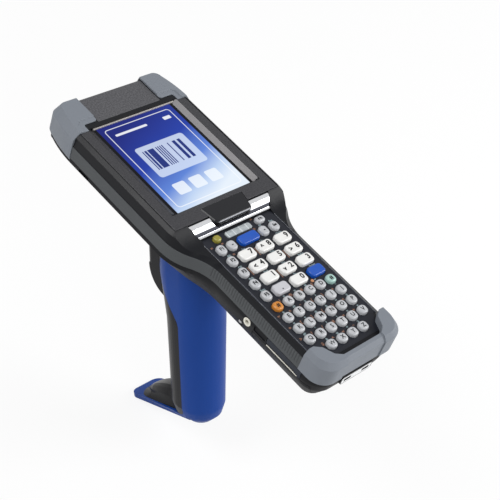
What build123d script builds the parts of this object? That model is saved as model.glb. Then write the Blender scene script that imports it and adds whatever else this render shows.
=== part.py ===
from build123d import *
from math import cos, radians, sin, tan
import os

os.makedirs("parts", exist_ok=True)

# A portable barcode terminal on a pistol grip, in millimetres. X runs to the screen's right, Y towards the
# scanning end and Z out of the screen. The origin is the centre of the display glass's outer face.

# ---- Driving dimensions ----------------------------------------------------------------------------------
# Display
glass_width = 62.2
glass_height = 70.8
glass_thickness = 1.2
glass_corner = 1.5
module_inset = 3.1
module_margin = 1.6
module_thickness = 3.6
module_step = 1.0
recess_gap = 0.25
strip_gap = 0.3
strip_across = 5.8
plate_gap = 1.0
plate_depth = 8.8
bezel_thickness = 1.0
bezel_proud = 0.1

# Trim below the display
trim_half_width = 29.0
trim_draw_in = 3.2
trim_gap = 0.8
trim_depth = 7.4
trim_seat_top_z = 0.2
trim_seat_bottom_z = -4.6
trim_lip = 1.5
trim_lip_rise = 1.9
trim_lip_thickness = 1.5
trim_roll_drop = 0.8
trim_roll_run = 4.0
trim_roll_depth = 2.7
tab_half_top = 15.0
tab_draw_in = 2.0
tab_lead = 2.8
tab_foot = 2.1
tab_corner = 3.0
tab_edge = 0.8
tab_proud = 0.3

# Keypad
mat_gap = 0.2
mat_side = 3.1
mat_foot = 2.9
mat_thickness = 2.0
mat_ledge = 0.8
mat_corner = 10.6
mat_shoulder = 5.6
mat_arm_gap = 0.2
mat_foot_inset = 2.2
key_height = 2.0
key_skirt = 0.6
key_travel = 1.0
key_chamfer = 0.5
number_key_width = 10.0
number_key_depth = 6.4
side_key_width = 5.1
side_key_depth = 6.2
scan_key_width = 13.2
fn_key_width = 6.2
fn_key_depth = 4.2
number_key_cut = 1.0
side_key_cut = 1.6
fn_key_cut = 1.1
letter_key_size = 5.5
power_key_size = 4.4
number_pitch_x = 12.98
number_pitch_y = 8.71
number_centre_x = 3.48
function_gap = 10.45
soft_left_x = -12.6
scan_key_x = -0.8
soft_right_x = 10.6
escape_x = 18.4
top_row_drop = 3.2
soft_row_drop = 7.26
power_x = -16.7
fn_x = 14.2
letter_drop = 8.2
letter_pitch_x = 7.82
letter_pitch_y = 7.96
strip_width = 18.0
strip_depth = 4.2
strip_x = -1.2
strip_drop = 3.3
strip_proud = 0.5
strip_sunk = 0.8

# Terminal body
side_margin = 3.5
end_margin = 4.0
trench_width = 3.4
top_corner = 4.5
end_taper = 3.0
taper_length = 25.0
bottom_corner = 12.0
waist_lead = 3.2
waist_length = 34.0
bezel_z = 1.8
shoulder_z = 0.0
keypad_z = -3.9
face_roll = 6.0
band_top_z = -5.9
parting_z = -10.0
band_bottom_z = -13.9
side_low_z = -17.0
chine_z = -22.5
back_z = -29.7
bezel_inset = 2.8
shoulder_inset = 0.7
rim_inset = 3.9
chine_inset = 5.2
chine_keypad_inset = 1.3
back_inset = 12.0
back_keypad_inset = 5.4
cavity_wall = 3.0
panel_wall = 2.0
engine_room = 1.0

# Fits
seat_gap = 0.05
key_gap = 0.25
moving_gap = 0.3
overrun = 10.0

# Side bands
band_depth = 1.2
band_proud = 0.4

# Bumpers
bumper_proud = 0.9
bumper_top_z = 3.0
bumper_edge_z = -1.5
bumper_turn_z = -13.0
bumper_low_z = -15.5
bumper_roll = 3.6
top_bumper_wall = 4.0
top_bumper_roof = 2.6
top_bumper_reach = 1.2
bumper_inner_x = 22.4
bumper_step = 1.0
bumper_overlap = 1.1
bumper_notch = 1.0
bumper_skirt = 3.0
bumper_skirt_drop = 0.6
bumper_skirt_corner = 2.0
bottom_bumper_reach = 1.2
bottom_bumper_wall = 3.5
bottom_bumper_top_z = 0.6
bottom_bumper_edge_z = -2.5
bottom_bumper_low_z = -13.5
bottom_bumper_roll = 2.2
bottom_bumper_foot = 10.0
bottom_arm_length = 15.2
bottom_arm_width = 4.8
bottom_arm_splay = 3.9
bottom_arm_rise = 2.8
bottom_arm_root = 2.7
bottom_root_rise = 2.4
bottom_bar_half = 14.0
bottom_bar_step = 0.7
trench_cut = 6.2

# Main board and scanning end
board_thickness = 1.6
board_side = 1.9
board_wide_half = 28.5
board_end = 10.0
panel_gap = 2.8
panel_length = 20.0
panel_thickness = 3.4
panel_edge = 1.6
window_half_width = 19.0
window_low_z = -18.5
window_top_z = -4.2
window_thickness = 1.8
window_edge = 0.6
engine_edge = 2.0
engine_half_width = 14.0
engine_length = 15.0
engine_height = 11.0
lens_depth = 4.0

# Sockets on the left side, placed from the bottom end
jack_from_end = 52.2
jack_z = -17.2
jack_flange_radius = 2.45
jack_body_size = 3.6
jack_bore_radius = 1.3
jack_bore_depth = 9.0
jack_length = 11.0
jack_flange = 1.2
jack_proud = 0.3
ir_gap = 5.0
ir_length = 8.6
ir_height = 3.7
ir_depth = 0.8
door_gap = 1.0
door_from_end = 13.4
door_low_z = -19.3
door_high_z = -14.6
door_thickness = 1.5
door_knuckle = 1.15
door_pin_radius = 0.5
door_pin_gap = 0.05
door_pin_end = 0.5
door_step = 1.6
door_step_end = 2.0
port_width = 15.0
port_height = 4.4
port_depth = 7.0
port_from_end = 27.5
lanyard_y = 22.0
lanyard_length = 8.0
lanyard_height = 2.0
lanyard_depth = 2.5

# Battery pack, placed from the bottom end
battery_from_end = 6.0
battery_length = 42.0
battery_roof_z = -19.9
latch_half_width = 7.0
latch_length = 9.0
latch_thickness = 1.6
latch_tongue = 1.0
latch_travel = 2.5
latch_depth = 0.8
latch_rib = 0.8
latch_rib_pitch = 1.6
latch_ribs = 4
latch_rib_length = 11.2

# Dock connector
dock_half_width = 11.7
dock_low_z = -21.2
dock_high_z = -15.8
dock_thickness = 3.0
dock_proud = 0.6
dock_corner = 1.2
dock_slot_width = 5.0
dock_slot_height = 1.6
dock_slot_pitch = 13.5

# Pistol grip: its own frame has its origin where the grip's axis meets the back, with Z up that axis
grip_y = -29.4
grip_rake = 22.5
grip_half_width = 15.3
grip_draft = 0.02
grip_flat = 2.3
grip_bottom = -124.0
heel_round = 13.0
flare_low = -55.0
flare_high = -27.0
flare_lead = 4.4
seam_back = -1.2
seam_top = 11.0
seam_front = 18.5
seam_high = -27.0
seam_step = 14.0
seam_low = -53.5
seam_round = 9.0
toe_root = -117.0
toe_tilt = 9.4
toe_length = 50.2
toe_tip_thickness = 2.4
toe_thickness = 5.4
toe_half_root = 14.0
toe_half_tip = 11.0
toe_corner = 5.5
toe_rim = 2.0
toe_rim_front = 4.0
toe_rim_height = 0.8
mound_length = 45.0
mound_half_width = 10.5
mound_height = 11.5
mound_round = 7.5
nose_reach = 28.5
nose_half_width = 11.5
nose_low = -25.5
nose_round = 5.0
saddle_half_width = 20.0
saddle_top_y = 6.0
saddle_bottom_y = -62.0
saddle_thickness = 3.0
saddle_corner = 4.0

# Trigger
trigger_half_width = 7.5
trigger_pivot_u = 19.5
trigger_pivot_w = -21.5
trigger_reach = 31.0
trigger_top = -26.2
trigger_tip = -46.5
trigger_toe = 2.0
trigger_brow = 3.0
trigger_boss = 3.2
trigger_pin_radius = 1.25
trigger_pin_gap = 0.05
trigger_pin_half = 10.5
trigger_gap = 0.8
trigger_room = 3.8
trigger_back = 17.0
switch_half_width = 5.0
switch_height = 6.0
switch_depth = 4.9
switch_back = 8.9
switch_w = -44.0

# Screws
screw_radius = 1.0
screw_head_radius = 1.7
screw_head = 1.4
screw_length = 14.5
screw_recess = 8.0
screw_x = 31.0
screw_y = 26.0
keypad_screw_side = 2.7
keypad_screw_from_end = 57.0
saddle_screw_length = 7.0
saddle_screw_inset = 4.0
screw_sides = 6
screw_head_sides = 12

# ---- Places that follow from the sizes -------------------------------------------------------------------
glass_half_width, glass_half_height = glass_width / 2, glass_height / 2
module_width, module_height = glass_width - 2 * module_inset, glass_height + 2 * module_margin
bezel_strip_inner = glass_half_width + strip_gap
bezel_strip_outer = bezel_strip_inner + strip_across
bezel_plate_top = -glass_half_height - plate_gap
bezel_plate_bottom = bezel_plate_top - plate_depth
trim_top_y = bezel_plate_bottom - trim_gap
trim_bottom_y = trim_top_y - trim_depth
trim_half_low = trim_half_width - trim_draw_in
tab_half_bottom = tab_half_top - tab_draw_in
tab_top_y = bezel_plate_top - tab_lead
tab_bottom_y = trim_bottom_y + tab_foot
tab_z = bezel_z + tab_proud
mat_top_y = trim_bottom_y - mat_gap
top_row_y = mat_top_y - top_row_drop
strip_y = mat_top_y - strip_drop
number_first_y = top_row_y - soft_row_drop - 4 * number_pitch_y
function_x = number_centre_x - number_pitch_x - function_gap
letter_first_y = number_first_y - letter_drop
letter_last_y = letter_first_y - 4 * letter_pitch_y
mat_bottom_y = letter_last_y - letter_key_size / 2 - mat_foot
mat_corner_y = mat_bottom_y + mat_corner
mat_half_width = 2.5 * letter_pitch_x + letter_key_size / 2 + mat_side
bottom_arm_inner = mat_half_width - bottom_arm_width
mat_bottom_half = bottom_arm_inner - mat_foot_inset
bottom_trench_half = bottom_arm_inner - trench_cut
bottom_trench_y = mat_bottom_y - trench_width
bottom_end = bottom_trench_y - end_margin
bottom_arm_y = bottom_end + bottom_arm_length
keypad_half_width = mat_half_width + side_margin
display_half_width = bezel_strip_outer + side_margin
panel_foot_y = glass_half_height + panel_gap
panel_half_width = bumper_inner_x - key_gap
top_end = panel_foot_y + panel_length
bumper_step_x = glass_half_width + strip_gap + recess_gap
bumper_step_y = panel_foot_y + bumper_step
bumper_foot_y = glass_half_height - bumper_overlap
waist_top = bezel_plate_bottom + waist_lead
waist_bottom = waist_top - waist_length
board_half_width = mat_half_width - board_side
board_top_z = keypad_z - mat_thickness - key_skirt - key_travel - moving_gap
board_top_y = bumper_foot_y + band_depth
board_waist_y = waist_top - band_depth
board_bottom_y = bottom_end + board_end
jack_y = bottom_end + jack_from_end
ir_top_y = jack_y - ir_gap
ir_bottom_y = ir_top_y - ir_length
door_top_y = ir_bottom_y - door_gap
door_pivot_y = bottom_end + door_from_end
port_y = bottom_end + port_from_end
battery_bottom_y = bottom_end + battery_from_end
battery_top_y = battery_bottom_y + battery_length
keypad_screw_x = keypad_half_width - keypad_screw_side
keypad_screw_y = bottom_end + keypad_screw_from_end


upright = (Align.CENTER, Align.CENTER, Align.MIN)


# ---- Shared forms ----------------------------------------------------------------------------------------
def keep(piece, name):
    """Label one finished piece and write its file."""
    piece.label = name
    export_step(piece, "parts/" + name + ".step")


def outline(z, wide, narrow, top=top_end, bottom=bottom_end, corner=top_corner, foot=bottom_corner):
    """Plan of the terminal at one height: wide round the display, S-curved waist, narrow round the keys."""
    tip = wide - end_taper
    waist_mid = ((wide + narrow) / 2, (waist_top + waist_bottom) / 2)
    with BuildSketch(Plane.XY.offset(z)) as plan:
        with BuildLine():
            Line((0, top), (tip - corner, top))
            TangentArc((tip - corner, top), (tip, top - corner), tangent=(1, 0))
            TangentArc((wide, top_end - taper_length), (tip, top - corner), tangent=(0, 1))
            Line((wide, top_end - taper_length), (wide, waist_top))
            TangentArc((wide, waist_top), waist_mid, tangent=(0, -1))
            TangentArc((narrow, waist_bottom), waist_mid, tangent=(0, 1))
            Line((narrow, waist_bottom), (narrow, bottom + foot))
            TangentArc((narrow, bottom + foot), (narrow - foot, bottom), tangent=(0, -1))
            Line((narrow - foot, bottom), (0, bottom))
            mirror(about=Plane.YZ)
        make_face()
    return plan.sketch


def body_form():
    """The terminal as one closed form, before it is parted into housings and given its hollows."""
    wide, narrow = display_half_width, keypad_half_width
    rim_slope = rim_inset / (keypad_z - band_top_z)
    shoulder_narrow = narrow - rim_slope * (shoulder_z - band_top_z)
    bezel_narrow = narrow - rim_slope * (bezel_z - band_top_z)
    with BuildPart() as form:
        loft(
            [
                outline(band_top_z, wide, narrow),
                outline(shoulder_z, wide - shoulder_inset, shoulder_narrow, foot=shoulder_narrow / 2),
                outline(bezel_z, wide - bezel_inset, bezel_narrow, foot=bezel_narrow / 2),
            ],
            ruled=True,
        )
        extrude(outline(side_low_z, wide, narrow), amount=band_top_z - side_low_z)
        loft(
            [
                outline(side_low_z, wide, narrow),
                outline(
                    chine_z,
                    wide - chine_inset,
                    narrow - chine_keypad_inset,
                    bottom=bottom_end + chine_keypad_inset,
                    foot=bottom_corner - chine_keypad_inset,
                ),
                outline(
                    back_z,
                    wide - back_inset,
                    narrow - back_keypad_inset,
                    bottom=bottom_end + back_keypad_inset,
                    foot=bottom_corner - back_keypad_inset,
                ),
            ],
            ruled=True,
        )
        # The face steps down from the display to the keypad in one smooth roll.
        with BuildSketch(Plane.YZ):
            with BuildLine():
                Polyline(
                    (bezel_plate_bottom, bezel_z),
                    (bezel_plate_bottom, bezel_z + overrun),
                    (bottom_end - overrun, bezel_z + overrun),
                    (bottom_end - overrun, keypad_z),
                    (trim_bottom_y - face_roll, keypad_z),
                )
                Bezier(
                    (trim_bottom_y - face_roll, keypad_z),
                    (trim_bottom_y, keypad_z),
                    (trim_top_y, bezel_z),
                    (bezel_plate_bottom, bezel_z),
                )
            make_face()
        extrude(amount=display_half_width + overrun, both=True, mode=Mode.SUBTRACT)
    return form.part


def band_space(proud):
    """Both side bands' space: a belt round the sides, from the top bumpers to the bottom one."""
    outer_wide, outer_narrow = display_half_width + proud, keypad_half_width + proud
    inner_wide, inner_narrow = display_half_width - band_depth, keypad_half_width - band_depth
    with BuildPart() as belt:
        extrude(outline(band_bottom_z, outer_wide, outer_narrow), amount=band_top_z - band_bottom_z)
        extrude(
            outline(band_bottom_z, inner_wide, inner_narrow),
            amount=band_top_z - band_bottom_z,
            mode=Mode.SUBTRACT,
        )
        with BuildSketch(Plane.XY.offset(band_bottom_z)):
            with Locations((0, (bumper_foot_y + bottom_arm_y) / 2)):
                Rectangle(3 * display_half_width, bumper_foot_y - bottom_arm_y - 2 * seat_gap)
        extrude(amount=band_top_z - band_bottom_z, mode=Mode.INTERSECT)
    return belt.part


def top_bumper_space(side):
    """Plan of one top bumper, stepped round the top panel and the display, less the core that it wraps."""
    far = 2 * display_half_width
    with BuildPart() as space:
        with BuildSketch(Plane.XY.offset(bumper_low_z)):
            Polygon(
                (side * bumper_inner_x, top_end + overrun),
                (side * bumper_inner_x, bumper_step_y + bumper_notch),
                (side * (bumper_inner_x + bumper_notch), bumper_step_y),
                (side * (bumper_step_x - bumper_notch), bumper_step_y),
                (side * bumper_step_x, bumper_step_y - bumper_notch),
                (side * bumper_step_x, bumper_foot_y),
                (side * far, bumper_foot_y),
                (side * far, top_end + overrun),
                align=None,
            )
        extrude(amount=bumper_top_z + overrun - bumper_low_z)
        core_wide = display_half_width + bumper_proud - top_bumper_wall
        core_height = bumper_top_z - top_bumper_roof - bumper_low_z
        core_end = top_end + top_bumper_reach - top_bumper_wall
        extrude(
            outline(bumper_low_z, core_wide, keypad_half_width, top=core_end, corner=top_corner / 2),
            amount=core_height,
            mode=Mode.SUBTRACT,
        )
    return space.part


def bottom_bumper_space():
    """Plan of the bottom bumper, a U open towards the keys, less the core that it wraps."""
    far = 2 * keypad_half_width
    half = [
        (bottom_trench_half, bottom_trench_y),
        (bottom_arm_inner - bottom_arm_root, bottom_trench_y + bottom_root_rise),
        (bottom_arm_inner, bottom_arm_y - bottom_arm_rise),
        (bottom_arm_inner + bottom_arm_splay, bottom_arm_y),
        (far, bottom_arm_y),
    ]
    core_half = keypad_half_width + bumper_proud - bottom_bumper_wall
    core_end = bottom_end - bottom_bumper_reach + bottom_bumper_wall
    with BuildPart() as space:
        with BuildSketch(Plane.XY.offset(bottom_bumper_low_z)):
            Polygon(
                *[(-x, y) for x, y in half],
                (-far, bottom_end - overrun),
                (far, bottom_end - overrun),
                *reversed(half),
                align=None,
            )
        extrude(amount=bottom_bumper_top_z + overrun - bottom_bumper_low_z)
        extrude(
            outline(bottom_bumper_low_z, display_half_width, core_half, bottom=core_end),
            amount=keypad_z - bottom_bumper_low_z,
            mode=Mode.SUBTRACT,
        )
    return space.part


def tab_plan(z):
    """Plan of the bare tab that covers the middle of the trim."""
    with BuildSketch(Plane.XY.offset(z)) as plan:
        Polygon(
            (-tab_half_top, tab_top_y),
            (-tab_half_bottom, tab_bottom_y),
            (tab_half_bottom, tab_bottom_y),
            (tab_half_top, tab_top_y),
            align=None,
        )
        fillet(plan.vertices().group_by(Axis.Y)[0], tab_corner)
    return plan.sketch


def trim_plan(z, shrink=0.0):
    """Plan of the trim, whose ends draw in towards the keypad."""
    half = [
        (trim_half_width - shrink, tab_top_y + overrun),
        (trim_half_width - shrink, trim_top_y),
        (trim_half_low - shrink, trim_bottom_y),
    ]
    with BuildSketch(Plane.XY.offset(z)) as plan:
        Polygon(*half, *[(-x, y) for x, y in reversed(half)], align=None)
    return plan.sketch


def above_trim_seat():
    """The space over the inclined seat that carries the trim and the tab."""
    seat_top = bezel_z - bezel_thickness
    with BuildPart() as space:
        with BuildSketch(Plane.YZ):
            Polygon(
                (tab_top_y + overrun, seat_top),
                (bezel_plate_bottom, seat_top),
                (bezel_plate_bottom, trim_seat_top_z),
                (trim_top_y, trim_seat_top_z),
                (trim_bottom_y, trim_seat_bottom_z),
                (trim_bottom_y, bezel_z + overrun),
                (tab_top_y + overrun, bezel_z + overrun),
                align=None,
            )
        extrude(amount=trim_half_width, both=True)
        extrude(trim_plan(back_z), amount=bumper_top_z - back_z, mode=Mode.INTERSECT)
    return space.part


def bezel_plan(z):
    """Plan of the grey bezel: a strip down each side of the display, joined by a plate below it."""
    with BuildSketch(Plane.XY.offset(z)) as plan:
        for side in (-1, 1):
            strip_middle = side * (bezel_strip_inner + bezel_strip_outer) / 2
            with Locations((strip_middle, (bumper_foot_y + bezel_plate_bottom) / 2)):
                Rectangle(strip_across, bumper_foot_y - bezel_plate_bottom)
        with Locations((0, (bezel_plate_top + bezel_plate_bottom) / 2)):
            Rectangle(2 * bezel_strip_inner, bezel_plate_top - bezel_plate_bottom)
    return plan.sketch


def mat_plan(z, grow=0.0):
    """Plan of the keypad mat, with its lower corners drawn in beside the bottom bumper's arms."""
    half = [
        (mat_half_width + grow, mat_top_y + grow),
        (mat_half_width + grow, mat_corner_y),
        (bottom_arm_inner + mat_arm_gap + grow, mat_corner_y - mat_shoulder),
        (mat_bottom_half + grow, mat_bottom_y - grow),
    ]
    with BuildSketch(Plane.XY.offset(z)) as plan:
        Polygon(*half, *[(-x, y) for x, y in reversed(half)], align=None)
    return plan.sketch


# Screws that close the housings, and the ones that hold the grip's saddle
housing_screw_places = [
    (side * x, y)
    for side in (-1, 1)
    for x, y in ((screw_x, screw_y), (keypad_screw_x, keypad_screw_y))
]
saddle_screw_places = [(0, saddle_top_y - saddle_screw_inset), (0, saddle_bottom_y + saddle_screw_inset)]
housing_head_z = back_z + screw_recess
saddle_head_z = back_z - saddle_thickness



def prisms(places, z, length, radius, sides):
    """Upright prisms that stand in for the screws' shanks and heads, and for their holes when grown."""
    with BuildPart() as group:
        with BuildSketch(Plane.XY.offset(z)):
            with Locations(*places):
                RegularPolygon(radius, sides)
        extrude(amount=length)
    return group.part


body = body_form()
bumper_room = [top_bumper_space(side) for side in (-1, 1)]
bottom_bumper_room = bottom_bumper_space()

# ---- Front housing ---------------------------------------------------------------------------------------
board_bottom_z = board_top_z - board_thickness
mat_bottom_z = keypad_z - mat_thickness
glass_seat_z = -glass_thickness
module_top_z = glass_seat_z - seat_gap
module_bottom_z = module_top_z - module_thickness
with BuildPart() as front_housing:
    add(body)
    split(bisect_by=Plane.XY.offset(parting_z), keep=Keep.TOP)
    add(band_space(0.0), mode=Mode.SUBTRACT)
    for room in bumper_room:
        add(room, mode=Mode.SUBTRACT)
    add(bottom_bumper_room, mode=Mode.SUBTRACT)
    # Recess for the glass, and the window behind it for the display module
    with BuildSketch(Plane.XY.offset(glass_seat_z)):
        RectangleRounded(glass_width + 2 * recess_gap, glass_height + 2 * recess_gap, glass_corner)
    extrude(amount=bezel_z - glass_seat_z, mode=Mode.SUBTRACT)
    with BuildSketch(Plane.XY.offset(parting_z)):
        Rectangle(module_width + 2 * seat_gap, glass_height - 2 * cavity_wall)
    extrude(amount=glass_seat_z - parting_z, mode=Mode.SUBTRACT)
    with BuildSketch(Plane.XY.offset(parting_z)):
        Rectangle(module_width + 2 * seat_gap, module_height + 2 * seat_gap)
    extrude(amount=module_top_z - module_step - parting_z, mode=Mode.SUBTRACT)
    # Grey bezel's seat, and the trim's inclined seat
    extrude(bezel_plan(bezel_z - bezel_thickness), amount=bezel_thickness, mode=Mode.SUBTRACT)
    add(above_trim_seat(), mode=Mode.SUBTRACT)
    # Ledge for the keypad mat, and the hollow under it
    extrude(mat_plan(mat_bottom_z), amount=bezel_z - mat_bottom_z, mode=Mode.SUBTRACT)
    extrude(mat_plan(parting_z, -mat_ledge), amount=mat_bottom_z - parting_z, mode=Mode.SUBTRACT)
    # Room for the main board and, at the top end, for the panel and the scanning engine
    with BuildSketch(Plane.XY.offset(parting_z)):
        with Locations((0, (board_top_y + board_waist_y) / 2)):
            Rectangle(2 * (board_wide_half + seat_gap), board_top_y - board_waist_y + 2 * seat_gap)
        with Locations((0, (board_waist_y + board_bottom_y) / 2)):
            Rectangle(2 * (board_half_width + seat_gap), board_waist_y - board_bottom_y + 2 * seat_gap)
    extrude(amount=board_top_z - parting_z, mode=Mode.SUBTRACT)
    with BuildSketch(Plane.XY.offset(bezel_z - panel_thickness)):
        with Locations((0, (panel_foot_y + top_end) / 2)):
            Rectangle(2 * panel_half_width, top_end - panel_foot_y)
    extrude(amount=panel_thickness, mode=Mode.SUBTRACT)
    with BuildSketch(Plane.XY.offset(parting_z)):
        with Locations((0, top_end - window_thickness / 2)):
            Rectangle(2 * window_half_width, window_thickness)
    extrude(amount=window_top_z - parting_z, mode=Mode.SUBTRACT)
    with BuildSketch(Plane.XY.offset(parting_z)):
        with Locations((0, (board_top_y + cavity_wall + top_end) / 2)):
            Rectangle(2 * (engine_half_width + engine_room), top_end - board_top_y - cavity_wall)
    extrude(amount=window_top_z - engine_room - parting_z, mode=Mode.SUBTRACT)
    # Bosses for the housing screws
    boss_depth = housing_head_z + screw_length + seat_gap - parting_z
    add(
        prisms(housing_screw_places, parting_z, boss_depth, screw_radius + seat_gap, screw_sides),
        mode=Mode.SUBTRACT,
    )
keep(front_housing.part, "front_housing")

# ---- Rear housing ----------------------------------------------------------------------------------------
dock_face = Plane(
    origin=(0, bottom_end - dock_proud, (dock_low_z + dock_high_z) / 2),
    x_dir=(1, 0, 0),
    z_dir=(0, -1, 0),
)
with BuildPart() as rear_housing:
    add(body)
    split(bisect_by=Plane.XY.offset(parting_z), keep=Keep.BOTTOM)
    add(band_space(0.0), mode=Mode.SUBTRACT)
    for room in bumper_room:
        add(room, mode=Mode.SUBTRACT)
    add(bottom_bumper_room, mode=Mode.SUBTRACT)
    # Hollow behind the board, deep at the scanning end
    with BuildSketch(Plane.XY.offset(parting_z)):
        with Locations((0, (board_top_y + panel_wall + board_waist_y) / 2)):
            Rectangle(2 * (board_wide_half - cavity_wall), board_top_y + panel_wall - board_waist_y)
    extrude(amount=-(parting_z - window_low_z), mode=Mode.SUBTRACT)
    with BuildSketch(Plane.XY.offset(parting_z)):
        with Locations((0, (board_top_y + cavity_wall + top_end) / 2)):
            Rectangle(2 * (engine_half_width + engine_room), top_end - board_top_y - cavity_wall)
    extrude(amount=-(parting_z - window_low_z + engine_room), mode=Mode.SUBTRACT)
    with BuildSketch(Plane.XY.offset(parting_z)):
        with Locations((0, top_end - window_thickness / 2)):
            Rectangle(2 * window_half_width, window_thickness)
    extrude(amount=-(parting_z - window_low_z), mode=Mode.SUBTRACT)
    # Bay for the battery pack, open below, with a notch for the latch's tongue
    with BuildSketch(Plane.XY.offset(battery_roof_z)):
        with Locations((0, (battery_top_y + battery_bottom_y) / 2)):
            Rectangle(3 * keypad_half_width, battery_top_y - battery_bottom_y)
    extrude(amount=back_z - battery_roof_z, mode=Mode.SUBTRACT)
    with BuildSketch(Plane.XY.offset(back_z)):
        with Locations((0, battery_top_y + latch_tongue)):
            Rectangle(2 * (latch_half_width + moving_gap), 2 * (latch_tongue + moving_gap))
    extrude(amount=latch_depth + latch_thickness + 2 * moving_gap, mode=Mode.SUBTRACT)
    # Slot for a lanyard or stylus tether beside the display
    with BuildSketch(Plane.XY.offset(side_low_z)):
        with Locations((-display_half_width, lanyard_y)):
            Rectangle(2 * lanyard_depth, lanyard_length)
    extrude(amount=lanyard_height, mode=Mode.SUBTRACT)
    # Headset jack's hole
    side_plane = Plane(origin=(-keypad_half_width, 0, 0), x_dir=(0, 1, 0), z_dir=(-1, 0, 0))
    with BuildSketch(side_plane):
        with Locations((jack_y, -jack_z)):
            Circle(jack_flange_radius + seat_gap)
    extrude(amount=-(jack_flange - jack_proud), mode=Mode.SUBTRACT)
    with BuildSketch(side_plane):
        with Locations((jack_y, -jack_z)):
            Rectangle(jack_body_size + 2 * seat_gap, jack_body_size + 2 * seat_gap)
    extrude(amount=-(jack_length - jack_proud + seat_gap), mode=Mode.SUBTRACT)
    # Infra-red window's recess
    with BuildSketch(side_plane):
        with Locations(((ir_top_y + ir_bottom_y) / 2, -(door_low_z + door_high_z) / 2)):
            Rectangle(ir_top_y - ir_bottom_y, ir_height)
    extrude(amount=-ir_depth, mode=Mode.SUBTRACT)
    # Door's recess, its knuckle's pocket and the port behind it
    recess_high, recess_low = door_high_z + seat_gap, door_low_z - seat_gap
    recess_floor = -keypad_half_width + door_thickness + seat_gap
    with BuildSketch(Plane.XY.offset(recess_low)):
        with Locations((recess_floor - door_thickness, (door_top_y + door_pivot_y) / 2)):
            Rectangle(2 * door_thickness, door_top_y - door_pivot_y + 2 * moving_gap)
        with Locations((-keypad_half_width + door_knuckle, door_pivot_y)):
            Circle(door_knuckle + moving_gap / 2)
        with Locations((-keypad_half_width, door_pivot_y)):
            Rectangle(2 * door_knuckle, 2 * door_knuckle + moving_gap)
    extrude(amount=recess_high - recess_low, mode=Mode.SUBTRACT)
    with BuildSketch(Plane.XY.offset((door_low_z + door_high_z - port_height) / 2)):
        with Locations((recess_floor, port_y)):
            Rectangle(2 * port_depth, port_width)
    extrude(amount=port_height, mode=Mode.SUBTRACT)
    # Door pin's sockets
    pin_length = recess_high - recess_low + 2 * door_pin_end
    with BuildSketch(Plane.XY.offset(recess_low - door_pin_end - seat_gap)):
        with Locations((-keypad_half_width + door_knuckle, door_pivot_y)):
            RegularPolygon(door_pin_radius + seat_gap, screw_sides, major_radius=False)
    extrude(amount=pin_length + 2 * seat_gap, mode=Mode.SUBTRACT)
    # Dock connector's pocket
    with BuildSketch(dock_face):
        Rectangle(2 * (dock_half_width + seat_gap), dock_high_z - dock_low_z + 2 * seat_gap)
    extrude(amount=-dock_thickness, mode=Mode.SUBTRACT)
    # Housing screws enter from the back; the saddle's screws thread into it
    head_radius, shank_radius = screw_head_radius + 2 * seat_gap, screw_radius + seat_gap
    add(
        prisms(housing_screw_places, back_z, screw_recess, head_radius, screw_head_sides),
        mode=Mode.SUBTRACT,
    )
    add(
        prisms(housing_screw_places, back_z, parting_z - back_z, shank_radius, screw_sides),
        mode=Mode.SUBTRACT,
    )
    add(
        prisms(saddle_screw_places, back_z, saddle_screw_length, shank_radius, screw_sides),
        mode=Mode.SUBTRACT,
    )
keep(rear_housing.part, "rear_housing")

# ---- Side bands ------------------------------------------------------------------------------------------
belt = band_space(band_proud)
for side, name in ((-1, "side_band_left"), (1, "side_band_right")):
    with BuildPart() as band:
        add(belt)
        split(bisect_by=Plane.YZ, keep=Keep.TOP if side > 0 else Keep.BOTTOM)
    keep(band.part, name)

# ---- Bumpers ---------------------------------------------------------------------------------------------
for side, name, room in ((-1, "bumper_top_left", bumper_room[0]), (1, "bumper_top_right", bumper_room[1])):
    with BuildPart() as top_bumper:
        wide = display_half_width + bumper_proud
        reach = top_end + top_bumper_reach
        loft(
            [
                outline(bumper_low_z, wide - bumper_proud, keypad_half_width, top=reach - bumper_proud),
                outline(bumper_turn_z, wide, keypad_half_width, top=reach),
                outline(bumper_edge_z, wide, keypad_half_width, top=reach),
                outline(bumper_top_z, wide - bumper_roll, keypad_half_width, top=reach - top_bumper_reach),
            ],
            ruled=True,
        )
        add(room, mode=Mode.INTERSECT)
        # Lower skirt along the display's corner
        skirt_x, skirt_y = bumper_step_x + bumper_skirt, bumper_step_y + bumper_skirt
        with BuildSketch(Plane.XY.offset(bumper_top_z - bumper_skirt_drop)):
            Polygon(
                (0, bumper_foot_y),
                (0, skirt_y),
                (side * (skirt_x - bumper_skirt_corner), skirt_y),
                (side * skirt_x, skirt_y - bumper_skirt_corner),
                (side * skirt_x, bumper_foot_y),
                align=None,
            )
        extrude(amount=bumper_skirt_drop, mode=Mode.SUBTRACT)
    keep(top_bumper.part, name)

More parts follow.
